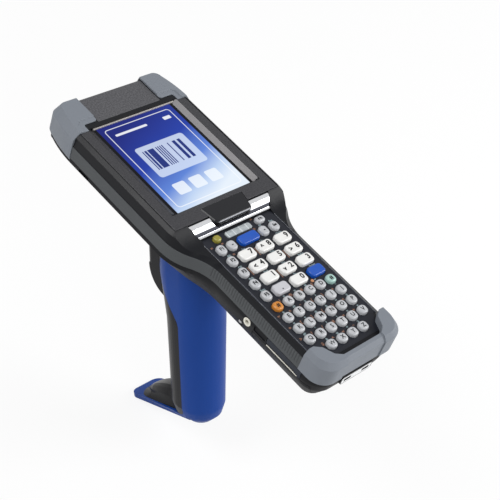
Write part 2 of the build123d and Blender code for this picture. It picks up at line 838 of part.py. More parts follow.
with BuildPart() as bumper_bottom:
    narrow = keypad_half_width + bumper_proud
    reach = bottom_end - bottom_bumper_reach
    loft(
        [
            outline(bottom_bumper_low_z, display_half_width, narrow, bottom=reach, foot=bottom_bumper_foot),
            outline(bottom_bumper_edge_z, display_half_width, narrow, bottom=reach, foot=bottom_bumper_foot),
            outline(
                bottom_bumper_top_z,
                display_half_width,
                narrow - bottom_bumper_roll,
                bottom=reach + bottom_bumper_roll,
                foot=bottom_bumper_foot,
            ),
        ],
        ruled=True,
    )
    add(bottom_bumper_room, mode=Mode.INTERSECT)
    # The bar between the corners lies a little lower and further back than they do
    bar_face = reach + bottom_bar_step
    bar_top_z = bottom_bumper_top_z - bottom_bar_step
    with BuildSketch(Plane.YZ):
        Polygon(
            (bar_face, bottom_bumper_low_z),
            (bar_face, bottom_bumper_edge_z),
            (bar_face + bottom_bumper_roll, bar_top_z),
            (bottom_trench_y + overrun, bar_top_z),
            (bottom_trench_y + overrun, bottom_bumper_top_z),
            (reach - overrun, bottom_bumper_top_z),
            (reach - overrun, bottom_bumper_low_z),
            align=None,
        )
    extrude(amount=bottom_bar_half, both=True, mode=Mode.SUBTRACT)
keep(bumper_bottom.part, "bumper_bottom")

# ---- Scanning end ----------------------------------------------------------------------------------------
with BuildPart() as top_panel:
    with BuildSketch(Plane.XY.offset(bezel_z - panel_thickness)):
        with Locations((0, (panel_foot_y + top_end) / 2)):
            Rectangle(2 * (panel_half_width - seat_gap), top_end - panel_foot_y)
    extrude(amount=panel_thickness)
    far_edge = top_panel.edges().filter_by(Axis.X).group_by(Axis.Z)[-1].sort_by(Axis.Y)[-1]
    chamfer(far_edge, panel_edge)
keep(top_panel.part, "top_panel")

with BuildPart() as scan_window:
    with BuildSketch(Plane.XY.offset(window_low_z)):
        with Locations((0, top_end - window_thickness / 2)):
            Rectangle(2 * (window_half_width - seat_gap), window_thickness)
    extrude(amount=window_top_z - window_low_z)
    chamfer(scan_window.edges().filter_by(Axis.Z).group_by(Axis.Y)[-1], window_edge)
keep(scan_window.part, "scan_window")

with BuildPart() as scan_engine:
    engine_y = top_end - window_thickness - moving_gap - engine_length
    engine_z = window_low_z - engine_room
    with BuildSketch(Plane.XY.offset(engine_z)):
        with Locations((0, engine_y + engine_length / 2)):
            Rectangle(2 * engine_half_width, engine_length)
    extrude(amount=engine_height)
    chamfer(scan_engine.edges().filter_by(Axis.Z).group_by(Axis.Y)[-1], engine_edge)
    # Lens barrel
    with Locations(Location((0, engine_y + engine_length, engine_z + engine_height / 2), (-90, 0, 0))):
        Hole(engine_height / 4, depth=lens_depth)
keep(scan_engine.part, "scan_engine")

# ---- Display ---------------------------------------------------------------------------------------------
with BuildPart() as display_glass:
    with BuildSketch(Plane.XY.offset(glass_seat_z)):
        RectangleRounded(glass_width, glass_height, glass_corner)
    extrude(amount=glass_thickness)
keep(display_glass.part, "display_glass")

with BuildPart() as display_module:
    with BuildSketch(Plane.XY.offset(module_bottom_z)):
        Rectangle(module_width, module_height)
    extrude(amount=module_thickness - module_step)
    with BuildSketch(Plane.XY.offset(module_bottom_z)):
        Rectangle(module_width, glass_height - 2 * cavity_wall - 2 * seat_gap)
    extrude(amount=module_thickness)
keep(display_module.part, "display_module")

with BuildPart() as display_bezel:
    extrude(bezel_plan(bezel_z - bezel_thickness), amount=bezel_thickness + bezel_proud)
    extrude(tab_plan(bezel_z - bezel_thickness), amount=bezel_thickness + bezel_proud, mode=Mode.SUBTRACT)
    top_edges = display_bezel.edges().filter_by(Axis.Y).group_by(Axis.Z)[-1]
    chamfer(top_edges.group_by(Axis.X)[0] + top_edges.group_by(Axis.X)[-1], bezel_thickness / 2)
keep(display_bezel.part, "display_bezel")

# ---- Trim and bare tab -----------------------------------------------------------------------------------
with BuildPart() as chrome_trim:
    with BuildSketch(Plane.YZ):
        with BuildLine():
            brow = (trim_top_y, bezel_z - trim_roll_drop)
            roll_end = (trim_top_y - trim_roll_run, bezel_z - trim_roll_depth)
            lip_start = (trim_bottom_y + trim_lip, trim_seat_bottom_z + trim_lip_rise)
            lip_end = (trim_bottom_y, trim_seat_bottom_z + trim_lip_thickness)
            TangentArc(brow, roll_end, tangent=(-1, 0))
            Polyline(
                roll_end,
                lip_start,
                lip_end,
                (trim_bottom_y, trim_seat_bottom_z),
                (trim_top_y, trim_seat_top_z),
                brow,
            )
        make_face()
    extrude(amount=trim_half_width, both=True)
    extrude(trim_plan(back_z, seat_gap), amount=bumper_top_z - back_z, mode=Mode.INTERSECT)
    extrude(tab_plan(back_z), amount=bumper_top_z - back_z, mode=Mode.SUBTRACT)
keep(chrome_trim.part, "chrome_trim")

with BuildPart() as name_tab:
    extrude(tab_plan(trim_seat_bottom_z), amount=tab_z - trim_seat_bottom_z)
    chamfer(name_tab.faces().sort_by(Axis.Z)[-1].edges().group_by(Axis.Y)[0], tab_edge)
    add(above_trim_seat(), mode=Mode.INTERSECT)
keep(name_tab.part, "name_tab")

# ---- Keypad ----------------------------------------------------------------------------------------------
key_base_z = mat_bottom_z - key_skirt
key_top_z = keypad_z + key_height


def key_plan(z, width, depth, cut, place, grow=0.0):
    """Plan of one key cap, or of its hole when grown: a rectangle with its corners cut off."""
    across, along = width / 2 + grow, depth / 2 + grow
    corners = [(across, along - cut), (across - cut, along), (cut - across, along), (-across, along - cut)]
    with BuildSketch(Plane.XY.offset(z)) as plan:
        with Locations(place):
            Polygon(*corners, *[(-x, -y) for x, y in corners], align=None)
    return plan.sketch


number_row = [number_first_y + row * number_pitch_y for row in range(5)]
number_column = [number_centre_x + column * number_pitch_x for column in (-1, 0, 1)]
round_cut = 1 - sin(radians(45))
number_size = (number_key_width, number_key_depth, number_key_cut)
side_size = (side_key_width, side_key_depth, side_key_cut)
letter_size = (letter_key_size, letter_key_size, letter_key_size * round_cut)

# Each key: its name, its width, depth and corner cut, and the places that it takes
keys = {
    "key_power": ((power_key_size, power_key_size, power_key_size * round_cut), [(power_x, top_row_y)]),
    "key_fn": ((fn_key_width, fn_key_depth, fn_key_cut), [(fn_x, top_row_y)]),
    "key_soft_left": (side_size, [(soft_left_x, number_row[4])]),
    "key_scan": ((scan_key_width, side_key_depth, side_key_cut), [(scan_key_x, number_row[4])]),
    "key_soft_right": (side_size, [(soft_right_x, number_row[4])]),
    "key_escape": (side_size, [(escape_x, number_row[4])]),
    "key_point": (number_size, [(number_column[0], number_row[0])]),
    "key_0": (number_size, [(number_column[1], number_row[0])]),
    "key_enter": (number_size, [(number_column[2], number_row[0])]),
}
for digit in range(9):
    keys[f"key_{digit + 1}"] = (number_size, [(number_column[digit % 3], number_row[1 + digit // 3])])
for row in range(5):
    keys[f"key_f{5 - row}"] = (side_size, [(function_x, number_row[row])])
letter_columns = [range(1, 5), range(6), range(6), range(6), range(1, 5)]
for row, columns in enumerate(letter_columns):
    places = [((column - 2.5) * letter_pitch_x, letter_first_y - row * letter_pitch_y) for column in columns]
    keys[f"key_letters_{row + 1}"] = (letter_size, places)
for column, name in ((0, "key_orange"), (5, "key_green")):
    keys[name] = (letter_size, [((column - 2.5) * letter_pitch_x, letter_first_y)])

for name, (size, places) in keys.items():
    with BuildPart() as key:
        for place in places:
            extrude(key_plan(key_base_z, *size, place), amount=key_top_z - key_base_z)
        crown = key.edges().group_by(Axis.Z)[-1]
        chamfer(crown, key_chamfer)
    keep(key.part, name)

with BuildPart() as keypad_mat:
    extrude(mat_plan(mat_bottom_z, -seat_gap), amount=mat_thickness)
    for size, places in keys.values():
        for place in places:
            extrude(key_plan(mat_bottom_z, *size, place, key_gap), amount=mat_thickness, mode=Mode.SUBTRACT)
    with BuildSketch(Plane.XY.offset(keypad_z - strip_sunk)):
        with Locations((strip_x, strip_y)):
            Rectangle(strip_width, strip_depth)
    extrude(amount=strip_sunk, mode=Mode.SUBTRACT)
keep(keypad_mat.part, "keypad_mat")

with BuildPart() as indicator_strip:
    with BuildSketch(Plane.XY.offset(keypad_z - strip_sunk)):
        with Locations((strip_x, strip_y)):
            Rectangle(strip_width - 2 * seat_gap, strip_depth - 2 * seat_gap)
    extrude(amount=strip_sunk + strip_proud)
    chamfer(indicator_strip.edges().group_by(Axis.Z)[-1], strip_proud / 2)
keep(indicator_strip.part, "indicator_strip")

with BuildPart() as main_board:
    with BuildSketch(Plane.XY.offset(board_bottom_z)):
        with Locations((0, (board_top_y + board_waist_y) / 2)):
            Rectangle(2 * board_wide_half, board_top_y - board_waist_y)
        with Locations((0, (board_waist_y + board_bottom_y) / 2)):
            Rectangle(2 * board_half_width, board_waist_y - board_bottom_y)
    extrude(amount=board_thickness)
keep(main_board.part, "main_board")

# ---- Sockets ---------------------------------------------------------------------------------------------
jack_plane = Plane(origin=(-keypad_half_width - jack_proud, jack_y, jack_z), x_dir=(0, 1, 0), z_dir=(1, 0, 0))
with BuildPart() as headset_jack:
    with BuildSketch(jack_plane):
        Circle(jack_flange_radius)
    extrude(amount=jack_flange)
    with BuildSketch(jack_plane):
        Rectangle(jack_body_size, jack_body_size)
    extrude(amount=jack_length)
    with BuildSketch(jack_plane):
        Circle(jack_bore_radius)
    extrude(amount=jack_bore_depth, mode=Mode.SUBTRACT)
keep(headset_jack.part, "headset_jack")

pivot_x = -keypad_half_width + door_knuckle
with BuildPart() as port_door:
    with BuildSketch(Plane.XY.offset(door_low_z)):
        with Locations((-keypad_half_width + door_thickness / 2, (door_top_y + door_pivot_y) / 2)):
            Rectangle(door_thickness, door_top_y - door_pivot_y)
        with Locations((pivot_x, door_pivot_y)):
            Circle(door_knuckle)
    extrude(amount=door_high_z - door_low_z)
    # The lower edge steps in, as a grip for a fingernail
    step_low_y = door_pivot_y + door_knuckle + door_step_end
    with BuildSketch(Plane.XY.offset(door_low_z)):
        with Locations((-keypad_half_width, (door_top_y + step_low_y) / 2)):
            Rectangle(door_thickness, door_top_y - step_low_y)
    extrude(amount=door_step, mode=Mode.SUBTRACT)
    with BuildSketch(Plane.XY.offset(door_low_z)):
        with Locations((pivot_x, door_pivot_y)):
            Circle(door_pin_radius + door_pin_gap)
    extrude(amount=door_high_z - door_low_z, mode=Mode.SUBTRACT)
keep(port_door.part, "port_door")

with BuildPart() as door_pin:
    with Locations((pivot_x, door_pivot_y, recess_low - door_pin_end)):
        Cylinder(door_pin_radius, pin_length, align=upright)
keep(door_pin.part, "door_pin")

with BuildPart() as dock_connector:
    with BuildSketch(dock_face):
        Rectangle(2 * dock_half_width, dock_high_z - dock_low_z)
    extrude(amount=-dock_thickness)
    chamfer(dock_connector.edges().filter_by(Axis.Y), dock_corner)
    with BuildSketch(dock_face):
        with GridLocations(dock_slot_pitch, 0, 2, 1):
            Rectangle(dock_slot_width, dock_slot_height)
    extrude(amount=-dock_thickness / 2, mode=Mode.SUBTRACT)
keep(dock_connector.part, "dock_connector")

# ---- Battery pack and its latch --------------------------------------------------------------------------
latch_low_z = back_z + latch_depth
with BuildPart() as battery_pack:
    add(body)
    with BuildSketch(Plane.XY.offset(battery_roof_z - moving_gap)):
        with Locations((0, (battery_top_y + battery_bottom_y) / 2)):
            Rectangle(3 * keypad_half_width, battery_top_y - battery_bottom_y - 2 * moving_gap)
    extrude(amount=back_z - battery_roof_z, mode=Mode.INTERSECT)
    # Latch's pocket, open below and through the end wall
    with BuildSketch(Plane.XY.offset(back_z)):
        with Locations((0, battery_top_y - (latch_length + latch_travel) / 2)):
            Rectangle(2 * (latch_half_width + moving_gap), latch_length + latch_travel + 2 * moving_gap)
    extrude(amount=latch_depth + latch_thickness + moving_gap, mode=Mode.SUBTRACT)
keep(battery_pack.part, "battery_pack")

with BuildPart() as battery_latch:
    with BuildSketch(Plane.XY.offset(latch_low_z)):
        with Locations((0, battery_top_y - latch_length / 2)):
            Rectangle(2 * latch_half_width, latch_length)
        with Locations((0, battery_top_y)):
            Rectangle(latch_half_width, 2 * latch_tongue)
    extrude(amount=latch_thickness)
    with BuildSketch(Plane(origin=(0, battery_top_y - latch_length / 2, latch_low_z))):
        with GridLocations(0, latch_rib_pitch, 1, latch_ribs):
            Rectangle(latch_rib_length, latch_rib)
    extrude(amount=-latch_depth / 2)
keep(battery_latch.part, "battery_latch")

# ---- Pistol grip -----------------------------------------------------------------------------------------
rake = radians(grip_rake)
grip_frame = Plane(origin=(0, grip_y, back_z), x_dir=(1, 0, 0), z_dir=(0, sin(rake), cos(rake)))
grip_side = Plane(origin=(0, grip_y, back_z), x_dir=(0, cos(rake), -sin(rake)), z_dir=(1, 0, 0))
grip_up = Axis(grip_frame.origin, grip_frame.z_dir)
grip_forward = Axis(grip_frame.origin, grip_frame.y_dir)
grip_rise = (nose_reach + overrun) * tan(rake)
toe_slope = radians(grip_rake + toe_tilt)
toe_frame = Plane(
    origin=grip_side.from_local_coords((0, toe_root, 0)),
    x_dir=(1, 0, 0),
    z_dir=(0, sin(toe_slope), cos(toe_slope)),
)
toe_forward = Axis(toe_frame.origin, toe_frame.y_dir)


def grip_section(height, inset=0.0):
    """One section across the grip: two half rounds joined by short flats."""
    half = grip_half_width + grip_draft * (height - flare_low) - inset
    with BuildSketch(grip_frame.offset(height)) as section:
        SlotOverall(2 * (half + grip_flat), 2 * half, rotation=90)
    return section.sketch


def grip_form():
    """The grip's column: round heel, drafted shank, and a flare forward to the trigger."""
    heel = [
        grip_section(grip_bottom + heel_round * (1 - cos(turn)), inset=heel_round * (1 - sin(turn)))
        for turn in map(radians, (0, 30, 60, 90))
    ]
    shank = grip_section(flare_low)
    lean = grip_frame.z_dir * (flare_high - flare_low) + grip_frame.y_dir * flare_lead
    flare_top = grip_frame.offset(flare_high)
    with BuildPart() as column:
        loft([*heel, shank], ruled=True)
        extrude(shank, amount=grip_rise - flare_low)
        extrude(shank, amount=lean.length, dir=lean)
        with BuildSketch(flare_top):
            with Locations((0, flare_lead)):
                SlotOverall(2 * (grip_half_width + grip_flat), 2 * grip_half_width, rotation=90)
        extrude(amount=grip_rise - flare_high)
    return column.part


def front_of_seam():
    """The space ahead of the seam between the two grip shells, seen from the side."""
    far = toe_length + overrun
    toe_drop = tan(radians(toe_tilt))
    with BuildPart() as space:
        with BuildSketch(grip_side):
            with BuildLine():
                seam = FilletPolyline(
                    (far, grip_rise),
                    (seam_top, grip_rise),
                    (seam_top, seam_high + seam_step),
                    (seam_front, seam_high),
                    (seam_back, seam_low),
                    (seam_back, toe_root - toe_drop * seam_back),
                    (far, toe_root - toe_drop * far),
                    radius=[seam_round, seam_round, seam_round, seam_round, seam_round / 2],
                )
                Line(seam @ 1, seam @ 0)
            make_face()
        extrude(amount=grip_half_width + overrun, both=True)
    return space.part


def toe_plan(height, side=0.0, front=0.0):
    """Plan of the toe under the grip, drawn in at its sides and front: a tongue with a round-cornered tip."""
    tip_y = toe_length - front
    with BuildSketch(toe_frame.offset(height)) as plan:
        Polygon(
            (-toe_half_root + side, 0),
            (toe_half_root - side, 0),
            (toe_half_tip - side, tip_y),
            (side - toe_half_tip, tip_y),
            align=None,
        )
        fillet(plan.vertices().group_by(toe_forward)[-1], toe_corner - side / 2)
    return plan.sketch


def mound_plan(turn):
    """Plan of the mound for the little finger, at one step up its rounded flank and tip."""
    inset = mound_round * (1 - cos(turn))
    reach = mound_length - inset
    with BuildSketch(toe_frame.offset(mound_height * sin(turn))) as plan:
        with Locations((0, (inset + reach) / 2)):
            SlotOverall(reach - inset, 2 * (mound_half_width - inset), rotation=90)
    return plan.sketch


def toe_form():
    """The toe as a slab that thins towards its tip."""
    with BuildPart() as toe:
        extrude(toe_plan(-2 * toe_thickness), amount=2 * toe_thickness)
        with BuildSketch(Plane(origin=toe_frame.origin, x_dir=toe_frame.y_dir, z_dir=(1, 0, 0))):
            Polygon(
                (0, 0),
                (toe_length, 0),
                (toe_length, -toe_tip_thickness),
                (0, -toe_thickness),
                align=None,
            )
        extrude(amount=2 * toe_half_root, both=True, mode=Mode.INTERSECT)
    return toe.part


trigger_low = trigger_tip - trigger_gap


def trigger_pocket():
    """The pocket in the grip that the trigger swings into, with its boss's bay up in the nose."""
    bay = trigger_boss + moving_gap
    with BuildPart() as pocket:
        with BuildSketch(grip_side):
            Polygon(
                (trigger_pivot_u - bay, trigger_pivot_w + bay),
                (trigger_pivot_u - bay, nose_low),
                (trigger_back - trigger_room, trigger_low),
                (trigger_reach + overrun, trigger_low),
                (trigger_reach + overrun, nose_low),
                (trigger_pivot_u + bay, nose_low),
                (trigger_pivot_u + bay, trigger_pivot_w + bay),
                align=None,
            )
        extrude(amount=trigger_half_width + moving_gap, both=True)
        # Blind holes for the pin
        with BuildSketch(grip_side):
            with Locations((trigger_pivot_u, trigger_pivot_w)):
                RegularPolygon(trigger_pin_radius + seat_gap, screw_sides, major_radius=False)
        extrude(amount=trigger_pin_half + seat_gap, both=True)
    return pocket.part


column = grip_form()
ahead = front_of_seam()

with BuildPart() as handle_shell:
    add(column)
    add(toe_form())
    add(ahead, mode=Mode.SUBTRACT)
    # The toe is a tray with a raised rim round the front shell's foot
    extrude(toe_plan(-toe_rim_height, toe_rim, toe_rim_front), amount=toe_rim_height, mode=Mode.SUBTRACT)
    add(trigger_pocket(), mode=Mode.SUBTRACT)
    split(bisect_by=Plane.XY.offset(back_z), keep=Keep.BOTTOM)
    # Saddle that screws to the back of the terminal
    with BuildSketch(Plane.XY.offset(back_z)):
        with Locations((0, (saddle_top_y + saddle_bottom_y) / 2)):
            RectangleRounded(2 * saddle_half_width, saddle_top_y - saddle_bottom_y, saddle_corner)
    extrude(amount=-saddle_thickness)
    add(
        prisms(saddle_screw_places, saddle_head_z, screw_head, head_radius, screw_head_sides),
        mode=Mode.SUBTRACT,
    )
    add(
        prisms(saddle_screw_places, saddle_head_z, saddle_thickness, shank_radius, screw_sides),
        mode=Mode.SUBTRACT,
    )
keep(handle_shell.part, "handle_shell")

def switch_plan(grow):
    """Front view of the trigger switch, on a plane across the grip at the switch's back."""
    back = grip_side.from_local_coords((switch_back, 0, 0))
    across = Plane(origin=back, x_dir=(1, 0, 0), z_dir=grip_frame.y_dir)
    with BuildSketch(across) as plan:
        with Locations((0, -switch_w)):
            Rectangle(2 * (switch_half_width + grow), switch_height + 2 * grow)
    return plan.sketch


with BuildPart() as handle_front:
    add(column)
    # Nose over the trigger
    with BuildSketch(grip_frame.offset(nose_low)):
        with Locations((0, nose_reach / 2)):
            Rectangle(2 * nose_half_width, nose_reach)
    extrude(amount=grip_rise - nose_low)
    nose_edges = handle_front.edges().filter_by(grip_up)
    fillet(nose_edges.group_by(grip_forward)[-1], nose_round)
    # Mound on the toe, for the little finger
    loft([mound_plan(radians(turn)) for turn in (0, 35, 60, 80)], ruled=True)
    add(ahead, mode=Mode.INTERSECT)
    # Foot that fills the toe's tray
    foot = toe_plan(seat_gap - toe_rim_height, toe_rim + seat_gap, toe_rim_front + seat_gap)
    extrude(foot, amount=toe_rim_height - seat_gap)
    split(bisect_by=Plane.XY.offset(saddle_head_z), keep=Keep.BOTTOM)
    add(trigger_pocket(), mode=Mode.SUBTRACT)
    extrude(switch_plan(seat_gap), amount=trigger_back - switch_back, mode=Mode.SUBTRACT)
keep(handle_front.part, "handle_front")

# ---- Trigger ---------------------------------------------------------------------------------------------
with BuildPart() as trigger:
    with BuildSketch(grip_side):
        with BuildLine():
            toe = (trigger_back + trigger_toe, trigger_tip)
            brow = (trigger_reach, trigger_top - trigger_brow)
            TangentArc(brow, toe, tangent=(0, -1))
            Polyline(
                toe,
                (trigger_back, trigger_tip + trigger_toe),
                (trigger_back, trigger_pivot_w),
                (trigger_pivot_u + trigger_boss, trigger_pivot_w),
                (trigger_pivot_u + trigger_boss, trigger_top),
                (trigger_reach - trigger_toe, trigger_top),
                brow,
            )
        make_face()
        with Locations((trigger_pivot_u, trigger_pivot_w)):
            Circle(trigger_boss)
    extrude(amount=trigger_half_width, both=True)
    with BuildSketch(grip_side):
        with Locations((trigger_pivot_u, trigger_pivot_w)):
            Circle(trigger_pin_radius + trigger_pin_gap)
    extrude(amount=2 * trigger_half_width, both=True, mode=Mode.SUBTRACT)
keep(trigger.part, "trigger")

with BuildPart() as trigger_pin:
    with BuildSketch(grip_side):
        with Locations((trigger_pivot_u, trigger_pivot_w)):
            Circle(trigger_pin_radius)
    extrude(amount=trigger_pin_half, both=True)
keep(trigger_pin.part, "trigger_pin")

with BuildPart() as trigger_switch:
    extrude(switch_plan(0.0), amount=switch_depth)
keep(trigger_switch.part, "trigger_switch")

# ---- Screws ----------------------------------------------------------------------------------------------
with BuildPart() as screws:
    for places, seat_z, length in (
        (housing_screw_places, housing_head_z, screw_length),
        (saddle_screw_places, saddle_head_z + screw_head, saddle_screw_length),
    ):
        add(prisms(places, seat_z, length, screw_radius, screw_sides))
        add(prisms(places, seat_z - screw_head, screw_head, screw_head_radius, screw_head_sides))
keep(screws.part, "screws")
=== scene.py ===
import math

import bpy
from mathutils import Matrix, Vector


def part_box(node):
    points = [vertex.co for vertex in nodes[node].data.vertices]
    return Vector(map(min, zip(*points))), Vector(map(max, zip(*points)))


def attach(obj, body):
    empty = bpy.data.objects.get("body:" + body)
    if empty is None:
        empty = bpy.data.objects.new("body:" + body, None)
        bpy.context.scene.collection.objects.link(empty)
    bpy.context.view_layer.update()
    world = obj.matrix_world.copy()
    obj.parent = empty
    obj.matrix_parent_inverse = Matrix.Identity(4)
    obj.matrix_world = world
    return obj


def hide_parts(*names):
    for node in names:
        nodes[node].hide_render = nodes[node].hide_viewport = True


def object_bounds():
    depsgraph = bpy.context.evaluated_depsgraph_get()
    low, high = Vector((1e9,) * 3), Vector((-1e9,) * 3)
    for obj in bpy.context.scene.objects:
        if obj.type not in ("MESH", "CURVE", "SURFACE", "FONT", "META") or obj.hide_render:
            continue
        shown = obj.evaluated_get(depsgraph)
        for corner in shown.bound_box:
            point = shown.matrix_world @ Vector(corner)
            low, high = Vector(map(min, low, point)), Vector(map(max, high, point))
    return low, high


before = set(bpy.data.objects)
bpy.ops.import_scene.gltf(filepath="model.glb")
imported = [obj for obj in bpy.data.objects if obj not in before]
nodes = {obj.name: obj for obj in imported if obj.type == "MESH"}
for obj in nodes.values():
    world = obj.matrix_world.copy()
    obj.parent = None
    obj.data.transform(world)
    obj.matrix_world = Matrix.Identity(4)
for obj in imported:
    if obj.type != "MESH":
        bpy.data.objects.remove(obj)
cad_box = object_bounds()
mm = 0.001

# ---- Camera ----------------------------------------------------------------------------------------------
# It looks down on the terminal from its left, over the keypad's end, through a long lens.
bpy.ops.object.camera_add(
    location=(-0.41349, -0.32969, 0.44495),
    rotation=[math.radians(turn) for turn in (45.048, -15.655, -42.525)],
)
camera = bpy.context.object
camera.name = "product_camera"
camera.data.lens = 92.283
camera.data.sensor_width = 36
bpy.context.scene.camera = camera

# ---- Studio ----------------------------------------------------------------------------------------------
# A white table and a white room. What the camera, metal and glass see of them is plain white, and the
# light on the object stays soft and level.
def white_to_the_eye(tree):
    path = tree.nodes.new("ShaderNodeLightPath")
    seen = path.outputs["Is Camera Ray"]
    for ray in ("Is Glossy Ray", "Is Transmission Ray"):
        both = tree.nodes.new("ShaderNodeMath")
        both.operation = "MAXIMUM"
        tree.links.new(seen, both.inputs[0])
        tree.links.new(path.outputs[ray], both.inputs[1])
        seen = both.outputs[0]
    return seen


room = bpy.data.worlds.new("white_room")
bpy.context.scene.world = room
room.use_nodes = True
soft_light = room.node_tree.nodes["Background"]
soft_light.inputs["Color"].default_value = (1, 1, 1, 1)
soft_light.inputs["Strength"].default_value = 0.42
white_wall = room.node_tree.nodes.new("ShaderNodeBackground")
white_wall.inputs["Strength"].default_value = 1.0
choose = room.node_tree.nodes.new("ShaderNodeMixShader")
room.node_tree.links.new(white_to_the_eye(room.node_tree), choose.inputs[0])
room.node_tree.links.new(soft_light.outputs[0], choose.inputs[1])
room.node_tree.links.new(white_wall.outputs[0], choose.inputs[2])
room.node_tree.links.new(choose.outputs[0], room.node_tree.nodes["World Output"].inputs["Surface"])

bpy.ops.mesh.primitive_plane_add(size=6, location=(0, 0, cad_box[0][2] - 0.0002))
table = bpy.context.object
table.name = "table_top"
table_paint = bpy.data.materials.new("table_white")
table_paint.use_nodes = True
table.data.materials.append(table_paint)
table_tree = table_paint.node_tree
matt_white = table_tree.nodes["Principled BSDF"]
matt_white.inputs["Base Color"].default_value = (0.8, 0.8, 0.8, 1)
matt_white.inputs["Roughness"].default_value = 0.9
glow = table_tree.nodes.new("ShaderNodeEmission")
shade = table_tree.nodes.new("ShaderNodeMixShader")
share = table_tree.nodes.new("ShaderNodeMath")
share.operation = "MULTIPLY"
share.inputs[1].default_value = 0.85
table_tree.links.new(white_to_the_eye(table_tree), share.inputs[0])
table_tree.links.new(share.outputs[0], shade.inputs[0])
table_tree.links.new(matt_white.outputs[0], shade.inputs[1])
table_tree.links.new(glow.outputs[0], shade.inputs[2])
table_tree.links.new(shade.outputs[0], table_tree.nodes["Material Output"].inputs["Surface"])

for name, place, size, power in (
    ("window_light", (-0.9, 0.45, 1.0), 0.7, 12),
    ("right_light", (0.95, -0.75, 0.65), 0.8, 15),
    ("front_light", (-0.35, -1.1, 0.6), 0.6, 3),
):
    bpy.ops.object.light_add(type="AREA", location=place)
    lamp = bpy.context.object
    lamp.name = name
    lamp.data.size = size
    lamp.data.energy = power
    aim = lamp.constraints.new("TRACK_TO")
    aim.target = nodes["front_housing"]
    aim.track_axis, aim.up_axis = "TRACK_NEGATIVE_Z", "UP_Y"


# ---- Housings --------------------------------------------------------------------------------------------
# Two shells of near-black glass-filled plastic, moulded with a fine matt texture. The front one carries the
# face and the rear one the underside, and screws from below hold them together.
class Wire:
    """One shader socket that can be used in sums and comparisons."""

    def __init__(self, finish, socket):
        self.finish, self.socket = finish, socket

    def maths(self, operation, *others):
        return self.finish.node("Math", {"operation": operation}, self, *others)

    def __add__(self, other):
        return self.maths("ADD", other)

    def __sub__(self, other):
        return self.maths("SUBTRACT", other)

    def __rsub__(self, other):
        return self.finish.node("Math", {"operation": "SUBTRACT"}, other, self)

    def __mul__(self, other):
        return self.maths("MULTIPLY", other)

    def __truediv__(self, other):
        return self.maths("DIVIDE", other)

    def __gt__(self, other):
        return self.maths("GREATER_THAN", other)

    def __lt__(self, other):
        return self.maths("LESS_THAN", other)

    def __mod__(self, other):
        return self.maths("FLOORED_MODULO", other)

    def __abs__(self):
        return self.maths("ABSOLUTE")

    __radd__, __rmul__ = __add__, __mul__


class Finish:
    """One material: a Principled shader, and the nodes that feed it."""

    def __init__(self, name, colour, roughness, **sockets):
        self.material = bpy.data.materials.new(name)
        self.material.use_nodes = True
        self.tree = self.material.node_tree
        self.shader = self.tree.nodes["Principled BSDF"]
        self.feed(Base_Color=(*colour, 1), Roughness=roughness, **sockets)
        self.place = self.node("TexCoord", out="Object")

    def join(self, value, socket):
        if isinstance(value, Wire):
            self.tree.links.new(value.socket, socket)
        else:
            socket.default_value = value

    def feed(self, **sockets):
        for name, value in sockets.items():
            self.join(value, self.shader.inputs[name.replace("_", " ")])

    def node(self, kind, settings=None, *values, out=0, **sockets):
        made = self.tree.nodes.new("ShaderNode" + kind)
        for name, value in (settings or {}).items():
            if name == "stops":
                for number, (position, colour) in enumerate(value):
                    ramp = made.color_ramp.elements
                    stop = ramp[number] if number < len(ramp) else ramp.new(position)
                    stop.position, stop.color = position, (*colour, 1)
            else:
                setattr(made, name, value)
        for place, value in [*enumerate(values), *sockets.items()]:
            self.join(value, made.inputs[place])
        return Wire(self, made.outputs[out])

    def noise(self, scale, detail=2.0):
        return self.node("TexNoise", Vector=self.place, Scale=scale, Detail=detail)

    def blend(self, mask, one, other):
        pair = [value if isinstance(value, Wire) else (*value, 1) for value in (one, other)]
        mixed = self.node("Mix", {"data_type": "RGBA"}, mask, out=2)
        for value, socket in zip(pair, mixed.socket.node.inputs[6:8]):
            self.join(value, socket)
        return mixed

    def axes(self):
        split = self.node("SeparateXYZ", None, self.place)
        outputs = split.socket.node.outputs
        return [Wire(self, outputs[number]) for number in range(3)]

    def grain(self, height, depth):
        self.feed(Normal=self.node("Bump", None, Distance=depth, Height=height))


